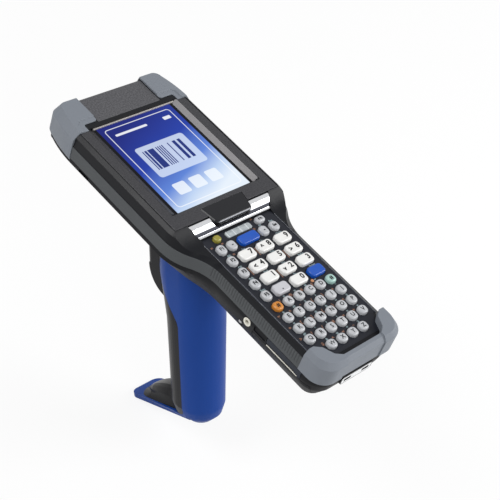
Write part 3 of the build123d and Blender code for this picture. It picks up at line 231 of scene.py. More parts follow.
def soften(node, body, slot, finish, edge, angle=30, smooth=30, segments=3, carve=None, cuts=0):
    """Copy a frame node as one welded skin, round its sharp edges and let the copy stand for it.

    The carve function moves the copy's points, and cuts splits the faces that it moves into finer ones.
    """
    bpy.ops.object.select_all(action="DESELECT")
    piece = nodes[node].copy()
    piece.data = nodes[node].data.copy()
    piece.name = node + "_skin"
    for tag in list(piece.keys()):
        del piece[tag]
    piece.parent = None
    bpy.context.scene.collection.objects.link(piece)
    piece.select_set(True)
    bpy.context.view_layer.objects.active = piece
    bpy.ops.object.mode_set(mode="EDIT")
    bpy.ops.mesh.select_all(action="SELECT")
    bpy.ops.mesh.remove_doubles(threshold=0.001 * mm)
    bpy.ops.mesh.dissolve_limited(angle_limit=math.radians(0.5))
    bpy.ops.object.mode_set(mode="OBJECT")
    bpy.ops.mesh.customdata_custom_splitnormals_clear()
    if cuts:
        points = piece.data.vertices
        for face in piece.data.polygons:
            corners = [points[number].co for number in face.vertices]
            face.select = any(carve(corner) != corner for corner in corners)
        bpy.ops.object.mode_set(mode="EDIT")
        bpy.ops.mesh.quads_convert_to_tris()
        bpy.ops.mesh.subdivide(number_cuts=cuts)
        bpy.ops.object.mode_set(mode="OBJECT")
    if carve:
        for point in piece.data.vertices:
            point.co = carve(point.co)
    if edge:
        rounding = piece.modifiers.new("rounding", "BEVEL")
        rounding.width = edge * mm
        rounding.segments = segments
        rounding.limit_method = "ANGLE"
        rounding.angle_limit = math.radians(angle)
        bpy.ops.object.modifier_apply(modifier="rounding")
    bpy.ops.object.shade_smooth_by_angle(angle=math.radians(smooth))
    evening = piece.modifiers.new("evening", "WEIGHTED_NORMAL")
    evening.keep_sharp = True
    bpy.ops.object.modifier_apply(modifier="evening")
    piece.data.materials.clear()
    piece.data.materials.append(finish.material)
    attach(piece, body)
    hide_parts(node)


moulded = Finish("moulded_black", (0.0055, 0.0058, 0.0075), 0.45, Specular_IOR_Level=0.12)
moulded.grain(moulded.noise(2600, 1.0), 0.000012)
moulded.feed(Roughness=0.42 + 0.12 * moulded.noise(60))
face_black = Finish("face_black", (0.0055, 0.006, 0.008), 0.3, Specular_IOR_Level=0.16)
face_black.grain(face_black.noise(2600, 1.0), 0.000006)
face_black.feed(Roughness=0.26 + 0.1 * face_black.noise(60))
soften("front_housing", "terminal", "housing", face_black, 0.35)
soften("rear_housing", "terminal", "housing", moulded, 0.35)

# ---- Side bands ------------------------------------------------------------------------------------------
# A grey rubber belt, moulded in two halves, lies in a groove round the housing. Its upper part is ribbed
# beside the keypad, where the hand holds it.
band_rubber = Finish("band_rubber", (0.066, 0.072, 0.076), 0.55, Specular_IOR_Level=0.25)
rib_pitch, ribs_from, ribs_to, ribs_foot = 1.7 * mm, -135 * mm, -69 * mm, -11.6 * mm
x, y, z = band_rubber.axes()
rib = (y * (2 * math.pi / rib_pitch)).maths("SINE")
ribbed = (y < ribs_to) * (z > ribs_foot) * (y > ribs_from)
band_rubber.grain(0.6 * ribbed * rib + 0.25 * band_rubber.noise(1900), 0.00015)
# The grooves between the ribs are coloured darker: painted shade in the creases.
groove_painted_shade = band_rubber.blend(ribbed * (rib < -0.3), (0.062, 0.067, 0.071), (0.040, 0.043, 0.047))
band_rubber.feed(Base_Color=groove_painted_shade, Roughness=0.5 + 0.1 * band_rubber.noise(80))
for side in ("left", "right"):
    soften("side_band_" + side, "terminal", "band", band_rubber, 0.25)

# ---- Bumpers ---------------------------------------------------------------------------------------------
# Thick blue-grey elastomer caps, moulded with a fine grain and pressed over the housing's corners, where they
# take the blow of a fall.
elastomer = Finish("bumper_elastomer", (0.168, 0.185, 0.212), 0.5, Specular_IOR_Level=0.3)
elastomer.grain(elastomer.noise(1500), 0.00006)
elastomer.feed(Roughness=0.45 + 0.12 * elastomer.noise(90))
for node in ("bumper_top_left", "bumper_top_right", "bumper_bottom"):
    soften(node, "terminal", "bumper", elastomer, 1.7, angle=25, smooth=60, segments=5)

# ---- Scanning end ----------------------------------------------------------------------------------------
# A cover plate of coarsely textured plastic lies in the top face. A dark red acrylic window closes the end
# face, and the scanning engine looks out through it.
cover_plastic = Finish("cover_plastic", (0.05, 0.05, 0.056), 0.5, Specular_IOR_Level=0.3)
speck = cover_plastic.noise(1150, 1.0)
cover_plastic.grain(speck, 0.00022)
cover_plastic.feed(Base_Color=cover_plastic.blend(speck, (0.016, 0.016, 0.019), (0.125, 0.125, 0.135)))
soften("top_panel", "terminal", "top_panel", cover_plastic, 0.5)
window_acrylic = Finish("window_acrylic", (0.035, 0.002, 0.003), 0.08, Specular_IOR_Level=0.2)
window_acrylic.feed(Roughness=0.06 + 0.04 * window_acrylic.noise(40))
soften("scan_window", "terminal", "window", window_acrylic, 0.2)

# ---- Display ---------------------------------------------------------------------------------------------
# A lit colour panel lies behind a touch glass with a black printed border. The glass is bonded into a bezel
# of speckled grey plastic, which fills the face round it.
screen = Finish("touch_glass", (0.004, 0.004, 0.006), 0.06, Specular_IOR_Level=0.1, Emission_Strength=1.0)
screen_half_width, screen_half_height = 26.1 * mm, 34.9 * mm


def rounded_box(finish, x, y, centre, half_size, corner):
    """1 inside a round-cornered box on the glass, 0 outside it, with a soft edge."""
    soft = 0.12 * mm
    reach = [abs(axis - middle) - (half - corner) for axis, middle, half in zip((x, y), centre, half_size)]
    past = [gap.maths("MAXIMUM", 0.0) for gap in reach]
    inside = reach[0].maths("MAXIMUM", reach[1]).maths("MINIMUM", 0.0)
    distance = (past[0] * past[0] + past[1] * past[1]).maths("SQRT") + inside - corner
    return finish.node("MapRange", None, distance, soft, -soft)


x, y, z = screen.axes()
lit = rounded_box(screen, x, y, (0, 0), (screen_half_width, screen_half_height), 0.3 * mm)
# The blue gradient, pale at the bottom, is the screen's own picture. Its tilt, which whitens the lower right
# corner, is a painted reflection.
height = y / (2 * screen_half_height) - 0.16 * (x / screen_half_width) + 0.5
sky_and_glare_stops = [
    (0.0, (0.80, 0.88, 0.97)),
    (0.16, (0.52, 0.66, 0.90)),
    (0.34, (0.11, 0.23, 0.68)),
    (0.6, (0.012, 0.045, 0.38)),
    (1.0, (0.006, 0.014, 0.19)),
]
sky_and_painted_glare = screen.node("ValToRGB", {"stops": sky_and_glare_stops}, height + 0.1 * (screen.noise(35, 1.0) - 0.5))
outside_line = rounded_box(screen, x, y, (0, 0), (23.1 * mm, 32.2 * mm), 2.2 * mm)
inside_line = rounded_box(screen, x, y, (0, 0), (22.6 * mm, 31.7 * mm), 1.7 * mm)
frame_line = outside_line - inside_line
card = rounded_box(screen, x, y, (0, 1.5 * mm), (17 * mm, 12 * mm), 2 * mm)
bar_number = (x + 14 * mm) / (0.7 * mm)
bar_noise = screen.node("TexWhiteNoise", {"noise_dimensions": "1D"}, W=bar_number.maths("FLOOR"))
bars = rounded_box(screen, x, y, (0, 2.5 * mm), (14 * mm, 7.5 * mm), 0.1 * mm) * (bar_noise > 0.48)
button_step = 11.5 * mm
button_x = (x + 1.5 * button_step) % button_step - button_step / 2
button_row = abs(x) < 17 * mm
buttons = rounded_box(screen, button_x, y, (0, -21 * mm), (4.2 * mm, 4.2 * mm), 1.2 * mm) * button_row
status = rounded_box(screen, x, y, (-8 * mm, 26.5 * mm), (11 * mm, 0.8 * mm), 0.7 * mm)
battery = rounded_box(screen, x, y, (17.5 * mm, 26.5 * mm), (2.6 * mm, 1.2 * mm), 0.4 * mm)
picture = screen.blend(card * 0.72, sky_and_painted_glare, (0.72, 0.82, 0.97))
picture = screen.blend(bars, picture, (0.012, 0.03, 0.20))
picture = screen.blend(buttons * 0.8, picture, (0.9, 0.95, 1.0))
picture = screen.blend((frame_line + status + battery) * 0.85, picture, (0.95, 0.97, 1.0))
screen.feed(Emission_Color=screen.blend(lit, (0.0, 0.0, 0.0), picture))
screen.feed(Roughness=0.05 + 0.03 * screen.noise(25))
soften("display_glass", "terminal", "glass", screen, 0.15)
bezel_plastic = Finish("bezel_plastic", (0.04, 0.04, 0.045), 0.35, Specular_IOR_Level=0.18)
bezel_speck = bezel_plastic.noise(1500, 1.0)
bezel_plastic.feed(Base_Color=bezel_plastic.blend(bezel_speck, (0.016, 0.016, 0.019), (0.07, 0.07, 0.076)))
bezel_plastic.grain(bezel_speck, 0.00004)
soften("display_bezel", "terminal", "bezel", bezel_plastic, 0.2)


def pick(piece, kind, wanted):
    """In edit mode, select only the faces or edges that pass the test."""
    bpy.ops.mesh.select_mode(type=kind)
    bpy.ops.mesh.select_all(action="DESELECT")
    bpy.ops.object.mode_set(mode="OBJECT")
    points = piece.data.vertices
    if kind == "FACE":
        for face in piece.data.polygons:
            face.select = wanted(face.center, face.normal)
    else:
        for edge in piece.data.edges:
            edge.select = wanted(*(points[number].co for number in edge.vertices))
    bpy.ops.object.mode_set(mode="EDIT")


def block(low, high):
    """A plain block between two corners, deselected around and left in edit mode for shaping."""
    bpy.ops.object.select_all(action="DESELECT")
    middle = [(one + other) / 2 for one, other in zip(low, high)]
    size = [other - one for one, other in zip(low, high)]
    bpy.ops.mesh.primitive_cube_add(size=1, location=middle, scale=size)
    bpy.ops.object.transform_apply(location=True, rotation=False, scale=True)
    bpy.ops.object.mode_set(mode="EDIT")
    return bpy.context.object


# The glass sinks between sloped slats: grey at the sides, the left one painted near-black as shade and the
# right one painted pale as lit, and a thin bright one over its upper edge, its pale colour a painted
# highlight.
slat_plastic = Finish("slat_plastic", (0.2, 0.2, 0.2), 0.4, Specular_IOR_Level=0.3)
slat_speck = slat_plastic.noise(1500, 1.0)
slat_painted_lit_speckle = slat_plastic.blend(slat_speck, (0.20, 0.195, 0.20), (0.27, 0.262, 0.268))
slat_painted_shade = (0.012, 0.012, 0.014)
slat_plastic.feed(Base_Color=slat_plastic.blend(slat_plastic.axes()[0] > 0.0, slat_painted_shade, slat_painted_lit_speckle))
glass_edge, glass_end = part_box("display_glass")[1].x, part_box("display_glass")[1].y
slat_top, slat_reach = 1.75 * mm, 3.0 * mm


def upper(start, end):
    """True for a slat's upper edges that run along the glass."""
    return min(start.z, end.z) > slat_top / 2 and start.x == end.x


for side, name in ((-1, "slat_left"), (1, "slat_right")):
    inner, outer = side * (glass_edge - slat_reach), side * (glass_edge + 0.25 * mm)
    low, high = (min(inner, outer), -glass_end, 0.02 * mm), (max(inner, outer), glass_end, slat_top)
    slat = block(low, high)
    pick(slat, "EDGE", lambda start, end: upper(start, end) and abs(start.x - inner) < 0.1 * mm)
    bpy.ops.transform.translate(value=(side * slat_reach, 0, 0))
    pick(slat, "EDGE", upper)
    bpy.ops.mesh.bevel(offset=0.12 * mm, segments=2)
    bpy.ops.object.mode_set(mode="OBJECT")
    bpy.ops.object.shade_smooth_by_angle(angle=math.radians(40))
    slat.name = name
    slat.data.materials.append(slat_plastic.material)
    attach(slat, "terminal")
# The lip's pale, part-metallic colour is a painted highlight along the glass's upper edge.
lip_painted_highlight = Finish("lip_painted_highlight", (0.36, 0.34, 0.32), 0.4, Metallic=0.4)
lip_painted_highlight.feed(Roughness=0.35 + 0.15 * lip_painted_highlight.noise(200))
lip = block((-28 * mm, glass_end - 0.7 * mm, 0.02 * mm), (29 * mm, glass_end + 0.2 * mm, 1.1 * mm))
pick(lip, "EDGE", lambda start, end: abs(start.z - end.z) < 0.1 * mm and abs(start.y - end.y) < 0.1 * mm)
bpy.ops.mesh.bevel(offset=0.2 * mm, segments=3)
bpy.ops.object.mode_set(mode="OBJECT")
bpy.ops.object.shade_smooth_by_angle(angle=math.radians(40))
lip.name = "glass_lip"
lip.data.materials.append(lip_painted_highlight.material)
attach(lip, "terminal")

# ---- Trim and tab ----------------------------------------------------------------------------------------
# A chrome-plated plastic bar rolls down from the display to the keypad, and a bare black tab clips over its
# middle. A pale strip with a row of lamp cells lies just below them.
chrome = Finish("chrome_plate", (0.86, 0.87, 0.89), 0.08, Metallic=1.0)
# The chrome's base colour turns near-black in a band across its roll: a painted dark reflection.
reflection_band_low, reflection_band_deep, reflection_band_top = -51.9 * mm, -50.6 * mm, -49.6 * mm
y = chrome.axes()[1]
reflection_band_fade = chrome.node("MapRange", {"interpolation_type": "SMOOTHSTEP"}, y, reflection_band_top, reflection_band_deep)
painted_dark_reflection = (y > reflection_band_low) * reflection_band_fade
chrome.feed(Base_Color=chrome.blend(painted_dark_reflection, (0.80, 0.81, 0.83), (0.012, 0.0125, 0.015)))
chrome.feed(Roughness=0.06 + 0.05 * chrome.noise(70))
soften("chrome_trim", "terminal", "trim", chrome, 0)
tab_plastic = Finish("tab_plastic", (0.009, 0.0095, 0.012), 0.25, Specular_IOR_Level=0.25)
tab_plastic.grain(tab_plastic.noise(2400), 0.00001)
tab_rim, tab_crest = -50.8 * mm, 1.35 * mm
x, y, z = tab_plastic.axes()
# The tab's lower crest edge is coloured light grey on the plain black plastic: a painted highlight.
rim = (y < tab_rim) * (z > tab_crest)
tab_plastic.feed(Base_Color=tab_plastic.blend(rim, (0.009, 0.0095, 0.012), (0.27, 0.28, 0.31)))
soften("name_tab", "terminal", "housing", tab_plastic, 0.5)
silvery = Finish("indicator_window", (0.45, 0.47, 0.48), 0.25, Coat_Weight=0.5)
cell_pitch, cell_half_width = 4.6 * mm, 2.0 * mm
segment = abs(silvery.axes()[0] % cell_pitch - cell_pitch / 2) > cell_half_width
cloud = silvery.blend(silvery.noise(450), (0.20, 0.23, 0.25), (0.50, 0.54, 0.55))
silvery.feed(Base_Color=silvery.blend(0.7 * segment, cloud, (0.62, 0.66, 0.67)))
strip_low, strip_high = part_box("indicator_strip")
strip = block(strip_low, strip_high)
pick(strip, "EDGE", lambda start, end: abs(start.z - end.z) > 0.5 * mm)
bpy.ops.mesh.bevel(offset=1.3 * mm, segments=5)
pick(strip, "FACE", lambda centre, normal: normal.z > 0.9)
bpy.ops.mesh.bevel(offset=0.25 * mm, segments=2)
bpy.ops.object.mode_set(mode="OBJECT")
bpy.ops.object.shade_smooth_by_angle(angle=math.radians(40))
strip.name = "indicator_window"
strip.data.materials.append(silvery.material)
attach(strip, "terminal")
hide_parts("indicator_strip")

# ---- Keypad ----------------------------------------------------------------------------------------------
# Silicone keys with hard, printed caps stand in holes through a dark mat, which is moulded in one sheet. Each
# key springs back after a press, and its small second legends are printed on the mat.
mat_silicone = Finish("mat_silicone", (0.0095, 0.011, 0.017), 0.4, Specular_IOR_Level=0.25)
mat_silicone.grain(mat_silicone.noise(1600), 0.00004)
soften("keypad_mat", "terminal", "mat", mat_silicone, 0)


def key_plastic(name, colour, other):
    """A glossy cap plastic that drifts between two near colours."""
    cap = Finish(name, colour, 0.3, Coat_Weight=0.3, Specular_IOR_Level=0.3)
    cap.feed(Base_Color=cap.blend(cap.noise(300), colour, other), Roughness=0.3 + 0.1 * cap.noise(120))
    return cap


def key_cap(size, corner, crown):
    """One key cap on the ground: a block with rounded corners, a dished wall and a rolled top."""
    width, depth, height = size
    bpy.ops.object.select_all(action="DESELECT")
    bpy.ops.mesh.primitive_cube_add(size=1, location=(0, 0, height / 2), scale=(width, depth, height))
    cap = bpy.context.object
    bpy.ops.object.transform_apply(location=True, rotation=False, scale=True)
    bpy.ops.object.mode_set(mode="EDIT")
    pick(cap, "EDGE", lambda start, end: abs(start.z - end.z) > height / 2)
    bpy.ops.mesh.bevel(offset=corner, segments=6)
    pick(cap, "FACE", lambda centre, normal: normal.z > 0.9)
    bpy.ops.mesh.bevel(offset=crown, segments=4)
    pick(cap, "FACE", lambda centre, normal: normal.z > 0.99)
    bpy.ops.mesh.inset(thickness=0.35 * mm)
    bpy.ops.transform.translate(value=(0, 0, -0.06 * mm))
    bpy.ops.object.mode_set(mode="OBJECT")
    bpy.ops.object.shade_smooth_by_angle(angle=math.radians(40))
    return cap


def put(master, place):
    """A copy of a piece, moved to its place, with its own mesh."""
    bpy.ops.object.select_all(action="DESELECT")
    master.select_set(True)
    bpy.context.view_layer.objects.active = master
    bpy.ops.object.duplicate()
    copy = bpy.context.object
    copy.location = place
    bpy.ops.object.transform_apply(location=True, rotation=False, scale=False)
    return copy


def join(pieces, name):
    """Several pieces as one."""
    bpy.ops.object.select_all(action="DESELECT")
    for piece in pieces:
        piece.select_set(True)
    bpy.context.view_layer.objects.active = pieces[0]
    bpy.ops.object.join()
    pieces[0].name = name
    return pieces[0]


white_key = key_plastic("key_white", (0.74, 0.735, 0.72), (0.68, 0.68, 0.67))
pale_key = key_plastic("key_pale", (0.46, 0.47, 0.49), (0.40, 0.41, 0.43))
grey_key = key_plastic("key_grey", (0.50, 0.50, 0.53), (0.45, 0.45, 0.48))
blue_key = key_plastic("key_blue", (0.004, 0.075, 0.42), (0.003, 0.06, 0.36))
amber_key = key_plastic("key_amber", (0.56, 0.22, 0.035), (0.48, 0.17, 0.02))
green_key = key_plastic("key_green", (0.36, 0.53, 0.49), (0.30, 0.47, 0.43))
olive_key = key_plastic("key_olive", (0.30, 0.27, 0.05), (0.24, 0.21, 0.03))
key_colours = {
    "key_point": (grey_key, "key_grey"),
    "key_enter": (blue_key, "key_blue"),
    "key_scan": (blue_key, "key_blue"),
    "key_orange": (amber_key, "key_orange"),
    "key_green": (green_key, "key_green"),
    "key_power": (olive_key, "key_power"),
}
for digit in range(10):
    key_colours[f"key_{digit}"] = (white_key, "key")
letter_size = 5.5 * mm
cap_masters = {}
for node in sorted(name for name in nodes if name.startswith("key_")):
    finish, slot = key_colours.get(node, (pale_key, "key"))
    low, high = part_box(node)
    width, depth, height = high - low
    count = 1
    if node.startswith("key_letters"):
        width = letter_size
        count = 4 if node[-1] in "15" else 6
    shape = (round(width, 4), round(depth, 4), round(height, 4))
    if shape not in cap_masters:
        wide = width > 8 * mm
        corner = min(1.9 * mm if wide else 2.1 * mm, 0.42 * min(width, depth))
        cap_masters[shape] = key_cap(shape, corner, 0.8 * mm if wide else 1.1 * mm)
    step = (high.x - low.x - width) / max(count - 1, 1)
    middle = (low.y + high.y) / 2
    places = [(low.x + width / 2 + number * step, middle, low.z) for number in range(count)]
    caps = [put(cap_masters[shape], place) for place in places]
    cap = join(caps, node + "_cap")
    cap.data.materials.append(finish.material)
    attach(cap, node)
    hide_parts(node)
for master in cap_masters.values():
    bpy.data.objects.remove(master)

ink = Finish("legend_ink", (0.008, 0.008, 0.010), 0.5, Specular_IOR_Level=0.2)
ink.feed(Roughness=0.45 + 0.1 * ink.noise(200))
amber_ink = Finish("amber_ink", (0.25, 0.13, 0.09), 0.5, Specular_IOR_Level=0.2)
amber_ink.feed(Roughness=0.45 + 0.1 * amber_ink.noise(200))
teal_ink = Finish("teal_ink", (0.22, 0.28, 0.30), 0.5, Specular_IOR_Level=0.2)
teal_ink.feed(Roughness=0.45 + 0.1 * teal_ink.noise(200))


def legend(words, place, size, stroke=0.1 * mm):
    """Flat printed characters whose strokes are thickened, at a place on the face that carries them."""
    bpy.ops.object.select_all(action="DESELECT")
    bpy.ops.object.text_add()
    print_mark = bpy.context.object
    print_mark.data.body = words
    print_mark.data.size = size
    print_mark.data.align_x = "CENTER"
    print_mark.data.align_y = "CENTER"
    print_mark.data.resolution_u = 2
    print_mark.data.offset = stroke
    bpy.ops.object.convert(target="MESH")
    print_mark = bpy.context.object
    print_mark.location = place
    bpy.ops.object.transform_apply(location=True, rotation=True, scale=True)
    return print_mark


def printed(marks, name, body, finish):
    """Printed marks that ride together on one body."""
    mark = join(marks, name)
    mark.data.materials.append(finish.material)
    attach(mark, body)


def over(node, across=0.0, along=0.0):
    """A point just over the hollow of a key's top, across and along from its middle, in millimetres."""
    low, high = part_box(node)
    return ((low.x + high.x) / 2 + across * mm, (low.y + high.y) / 2 + along * mm, high.z - 0.03 * mm)


arrows = {8: "^", 6: ">", 4: "<", 2: "v"}
for digit in range(10):
    node = f"key_{digit}"
    marks = [legend(str(digit), over(node, 2.5, 0.25), 4.6 * mm, 0.16 * mm)]
    if digit in arrows:
        marks.append(legend(arrows[digit], over(node, -2.3, -0.2), 4.0 * mm, 0.16 * mm))
    printed(marks, f"digit_{digit}", node, ink)
small_legends = {
    "key_point": (".", 5.0),
    "key_fn": ("Fn", 2.9),
    "key_escape": ("Esc", 2.3),
    "key_soft_left": ("-", 3.6),
    "key_soft_right": ("-", 3.6),
    "key_orange": ("#", 3.4),
    "key_green": ("#", 3.4),
    "key_f1": ("F1", 2.9),
    "key_f2": ("F2", 2.9),
    "key_f3": ("F3", 2.9),
    "key_f4": ("F4", 2.9),
    "key_f5": ("F5", 2.9),
}
for node, (words, size) in small_legends.items():
    printed([legend(words, over(node), size * mm, 0.12 * mm)], node + "_print", node, ink)
rows = ("ABCD", "EFGHIJ", "KLMNOP", "QRSTUV", "WXYZ")
amber_marks, teal_marks = [], []
amber_signs, teal_signs = iter("!@#$%&*()+=[]{}<>?/#=+$&%*"), iter("+=#%&@$?!*=+#&%$@*?!=+&#%$")
mat_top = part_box("keypad_mat")[1].z + 0.03 * mm
for number, letters in enumerate(rows, 1):
    node = f"key_letters_{number}"
    low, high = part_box(node)
    pitch = (high.x - low.x - letter_size) / (len(letters) - 1)
    marks = []
    for column, letter in enumerate(letters):
        across = low.x + letter_size / 2 + column * pitch
        along = (low.y + high.y) / 2
        stroke = (0.03 if letter in "MW" else 0.09) * mm
        marks.append(legend(letter, (across, along, high.z - 0.03 * mm), 3.3 * mm, stroke))
        amber_place = (across - 3.5 * mm, along + 2.6 * mm, mat_top)
        amber_marks.append(legend(next(amber_signs), amber_place, 2.4 * mm, 0.14 * mm))
        teal_marks.append(legend(next(teal_signs), (across + 0.6 * mm, along + 3.8 * mm, mat_top), 2.2 * mm))
    printed(marks, f"letters_{number}", node, ink)
for node, words in (
    ("key_7", "Ins"), ("key_8", "Up"), ("key_9", "PgUp"), ("key_5", "Tab"), ("key_3", "PgDn"),
    ("key_2", "Dn"), ("key_1", "End"), ("key_0", "Sp"), ("key_enter", "Enter"), ("key_soft_right", "F7"),
    ("key_f2", "Alt"), ("key_f3", "Ctl"), ("key_f4", "Shft"), ("key_f5", "Sym"), ("key_fn", "Bk"),
    ("key_escape", "Esc"),
):
    x, y, z = over(node, 1.6, 4.2)
    teal_marks.append(legend(words, (x, y, mat_top), 1.9 * mm))
for node in ("key_8", "key_6", "key_4", "key_2"):
    low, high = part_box(node)
    amber_marks.append(legend("|", (low.x - 0.75 * mm, (low.y + high.y) / 2, mat_top), 6.2 * mm, 0.02 * mm))
for node in ("key_soft_left", "key_soft_right", "key_fn", "key_7", "key_f1"):
    low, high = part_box(node)
    amber_marks.append(legend("=", (low.x - 0.6 * mm, high.y + 0.6 * mm, mat_top), 2.6 * mm))
printed(amber_marks, "amber_marks", "terminal", amber_ink)
printed(teal_marks, "teal_marks", "terminal", teal_ink)


def stud(radius, low, high, edge):
    """A short round stud with a rolled rim, standing at the origin's foot."""
    bpy.ops.object.select_all(action="DESELECT")
    middle = (0, 0, (low + high) / 2)
    bpy.ops.mesh.primitive_cylinder_add(vertices=24, radius=radius, depth=high - low, location=middle)
    round_stud = bpy.context.object
    bpy.ops.object.transform_apply(location=True, rotation=False, scale=False)
    bpy.ops.object.mode_set(mode="EDIT")
    pick(round_stud, "FACE", lambda centre, normal: normal.z > 0.9)
    bpy.ops.mesh.bevel(offset=edge, segments=3)
    bpy.ops.object.mode_set(mode="OBJECT")
    bpy.ops.object.shade_smooth_by_angle(angle=math.radians(40))
    return round_stud


# A glossy bead along each side of the keypad, coloured lighter and bluer than the face as a painted
# highlight.
bead_painted_highlight = Finish("bead_painted_highlight", (0.05, 0.055, 0.07), 0.15, Specular_IOR_Level=0.5)
bead_painted_highlight.feed(Roughness=0.12 + 0.08 * bead_painted_highlight.noise(90))
mat_low, mat_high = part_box("keypad_mat")
for name, edge_x in (("bead_left", mat_low.x - 0.45 * mm), ("bead_right", mat_high.x + 0.05 * mm)):
    bead_low = (edge_x, mat_low.y + 9 * mm, mat_high.z - 0.5 * mm)
    bead = block(bead_low, (edge_x + 0.4 * mm, mat_high.y - 3 * mm, mat_high.z + 0.35 * mm))
    pick(bead, "EDGE", lambda start, end: abs(start.y - end.y) > 5 * mm)
    bpy.ops.mesh.bevel(offset=0.15 * mm, segments=3)
    bpy.ops.object.mode_set(mode="OBJECT")
    bpy.ops.object.shade_smooth_by_angle(angle=math.radians(40))
    bead.name = name
    bead.data.materials.append(bead_painted_highlight.material)
    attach(bead, "terminal")

# A small amber lamp beside the enter key.
lamp_lens = Finish("lamp_lens", (0.45, 0.17, 0.06), 0.2, Coat_Weight=0.5)
lamp_lens.feed(Base_Color=lamp_lens.blend(lamp_lens.noise(900), (0.36, 0.12, 0.04), (0.60, 0.30, 0.14)))
lamp_stud = stud(1.0 * mm, -0.3 * mm, 0.35 * mm, 0.25 * mm)
charge_lamp = put(lamp_stud, (10.2 * mm, -102.9 * mm, mat_top))
charge_lamp.name = "charge_lamp"
charge_lamp.data.materials.append(lamp_lens.material)
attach(charge_lamp, "terminal")
bpy.data.objects.remove(lamp_stud)

# ---- Sockets ---------------------------------------------------------------------------------------------
# A ringed headset jack and a rubber door over the port sit in the left side, and the dock's contact block in
# the end face. The door turns on a plated steel pin, and plated screws close the housing.
jack_plastic = Finish("jack_plastic", (0.68, 0.66, 0.58), 0.3)
jack_plastic.feed(Roughness=0.25 + 0.1 * jack_plastic.noise(400))
soften("headset_jack", "terminal", "jack", jack_plastic, 0.1)
door_rubber = Finish("door_rubber", (0.018, 0.022, 0.032), 0.45, Specular_IOR_Level=0.2)
door_rubber.grain(door_rubber.noise(1800), 0.00002)
soften("port_door", "port_door", "door", door_rubber, 0.15)
# A pale strip along the door's lower edge, in the jack's pale plastic, is a painted highlight where that edge
# catches light.
low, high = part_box("port_door")
highlight_strip_low = (low.x - 0.12 * mm, low.y + 2 * mm, low.z + 0.1 * mm)
rib = block(highlight_strip_low, (low.x + 0.3 * mm, high.y - 0.8 * mm, low.z + 0.55 * mm))
pick(rib, "EDGE", lambda start, end: abs(start.y - end.y) > 5 * mm)
bpy.ops.mesh.bevel(offset=0.1 * mm, segments=2)
bpy.ops.object.mode_set(mode="OBJECT")
bpy.ops.object.shade_smooth_by_angle(angle=math.radians(40))
rib.name = "door_edge_highlight"
rib.data.materials.append(jack_plastic.material)
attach(rib, "port_door")
block_plastic = Finish("contact_block", (0.70, 0.71, 0.72), 0.3, Specular_IOR_Level=0.3)
dock_level = -18.5 * mm
x, y, z = block_plastic.axes()
plate = rounded_box(block_plastic, x, z, (0, dock_level), (10.9 * mm, 2.1 * mm), 0.6 * mm)
# The two pockets are painted near-black on the block's face: painted shade in their hollows.
pocket_painted_shade = rounded_box(block_plastic, abs(x), z, (6.75 * mm, dock_level), (2.7 * mm, 1.0 * mm), 0.4 * mm)
pale = block_plastic.blend(block_plastic.noise(300), (0.66, 0.67, 0.68), (0.76, 0.77, 0.78))
block_plastic.feed(Base_Color=block_plastic.blend(plate * (1 - pocket_painted_shade), (0.006, 0.006, 0.007), pale))
block_plastic.feed(Roughness=0.25 + 0.1 * block_plastic.noise(300))
soften("dock_connector", "terminal", "connector", block_plastic, 0.2)
plated = Finish("plated_steel", (0.45, 0.45, 0.46), 0.3, Metallic=1.0)
plated.feed(Roughness=0.25 + 0.15 * plated.noise(500))
for node in ("door_pin", "trigger_pin", "screws"):
    soften(node, "terminal", "steel", plated, 0)

# ---- Battery pack ----------------------------------------------------------------------------------------
# A black moulded pack closes the underside below the keypad. A sliding latch of rubbery plastic on the pack
# holds it in the housing.
soften("battery_pack", "battery_pack", "housing", moulded, 0.4)
soften("battery_latch", "battery_latch", "door", door_rubber, 0.15)

# ---- Works inside ----------------------------------------------------------------------------------------
# The lacquered circuit board, the display panel, the scanning engine and the trigger's switch sit inside the
# housings and the grip.
board_lacquer = Finish("board_lacquer", (0.01, 0.10, 0.04), 0.35)
tracks = board_lacquer.noise(300) > 0.55
board_lacquer.feed(Base_Color=board_lacquer.blend(tracks, (0.008, 0.09, 0.035), (0.02, 0.16, 0.07)))
for node, slot in (
    ("main_board", "board"),
    ("scan_engine", "board"),
    ("display_module", "screen"),
    ("trigger_switch", "door"),
):
    soften(node, "terminal", slot, board_lacquer, 0)

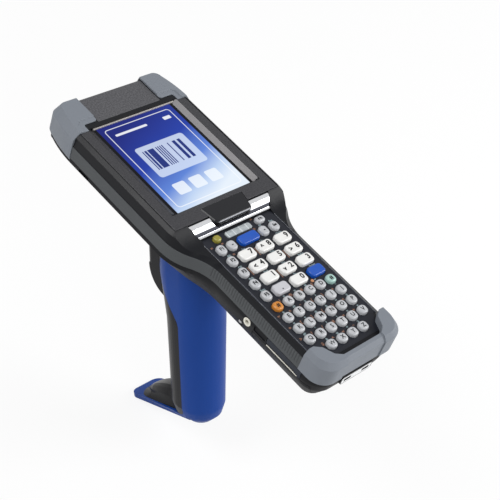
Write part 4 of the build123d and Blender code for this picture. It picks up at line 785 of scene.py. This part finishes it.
# ---- Pistol grip -----------------------------------------------------------------------------------------
# A blue moulded shell runs down to a flat toe and is screwed to the housing by its saddle. Its black front is
# rubber moulded over it, with a finger mound on the toe, and the trigger swings on a pin in its upper part.
shell_plastic = Finish("grip_blue", (0.005, 0.042, 0.235), 0.42, Specular_IOR_Level=0.15)
shell_plastic.grain(shell_plastic.noise(1800), 0.00004)
cloud = shell_plastic.noise(25)
shell_plastic.feed(Base_Color=shell_plastic.blend(cloud, (0.0045, 0.040, 0.225), (0.0055, 0.046, 0.25)))
toe_corner, toe_back, toe_neck = 13.5 * mm, -77.5 * mm, -73.8 * mm
toe_face, toe_thickness = -137.8 * mm, 4.6 * mm


def blend_heel(point):
    """Draw the toe plate's square rear corners in under the round heel."""
    if abs(point.x) < toe_corner or not (toe_back < point.y < toe_neck) or point.z > toe_face + 0.3 * mm:
        return point
    below = min(max((toe_face - point.z) / toe_thickness, 0), 1)
    across = math.copysign(12.3 * mm - 4.3 * mm * below, point.x)
    return Vector((across, point.y + 1.0 * mm * (1 - below), point.z))


soften("handle_shell", "terminal", "handle", shell_plastic, 0.8, carve=blend_heel)
grip_rubber = Finish("grip_rubber", (0.006, 0.006, 0.0075), 0.3, Specular_IOR_Level=0.16)
grip_rubber.grain(grip_rubber.noise(1400), 0.00005)
toe_slope = math.radians(31.9)
toe_foot = Vector((0, -75.29, -137.10)) * mm
toe_ahead = Vector((0, math.cos(toe_slope), -math.sin(toe_slope)))
toe_up = Vector((0, math.sin(toe_slope), math.cos(toe_slope)))
mound_start, mound_length = 14 * mm, 33.5 * mm


def slim_mound(point):
    """Round the finger mound into a dome that runs out to a point at the toe's tip."""
    reach, rise = (point - toe_foot).dot(toe_ahead), (point - toe_foot).dot(toe_up)
    if not (mound_start < reach < 47 * mm and 0.3 * mm < rise < 13 * mm):
        return point
    share = 1 - ((reach - mound_start) / mound_length) ** 2
    narrow = point.x * 0.8 * (1 - share) * min(rise / (4 * mm), 1)
    return point - toe_up * rise * (1 - share) - Vector((narrow, 0, 0))


soften("handle_front", "terminal", "grip", grip_rubber, 0.8, smooth=50, carve=slim_mound, cuts=4)
soften("trigger", "trigger", "grip", grip_rubber, 1.2)

bpy.context.scene.view_settings.view_transform = "Standard"
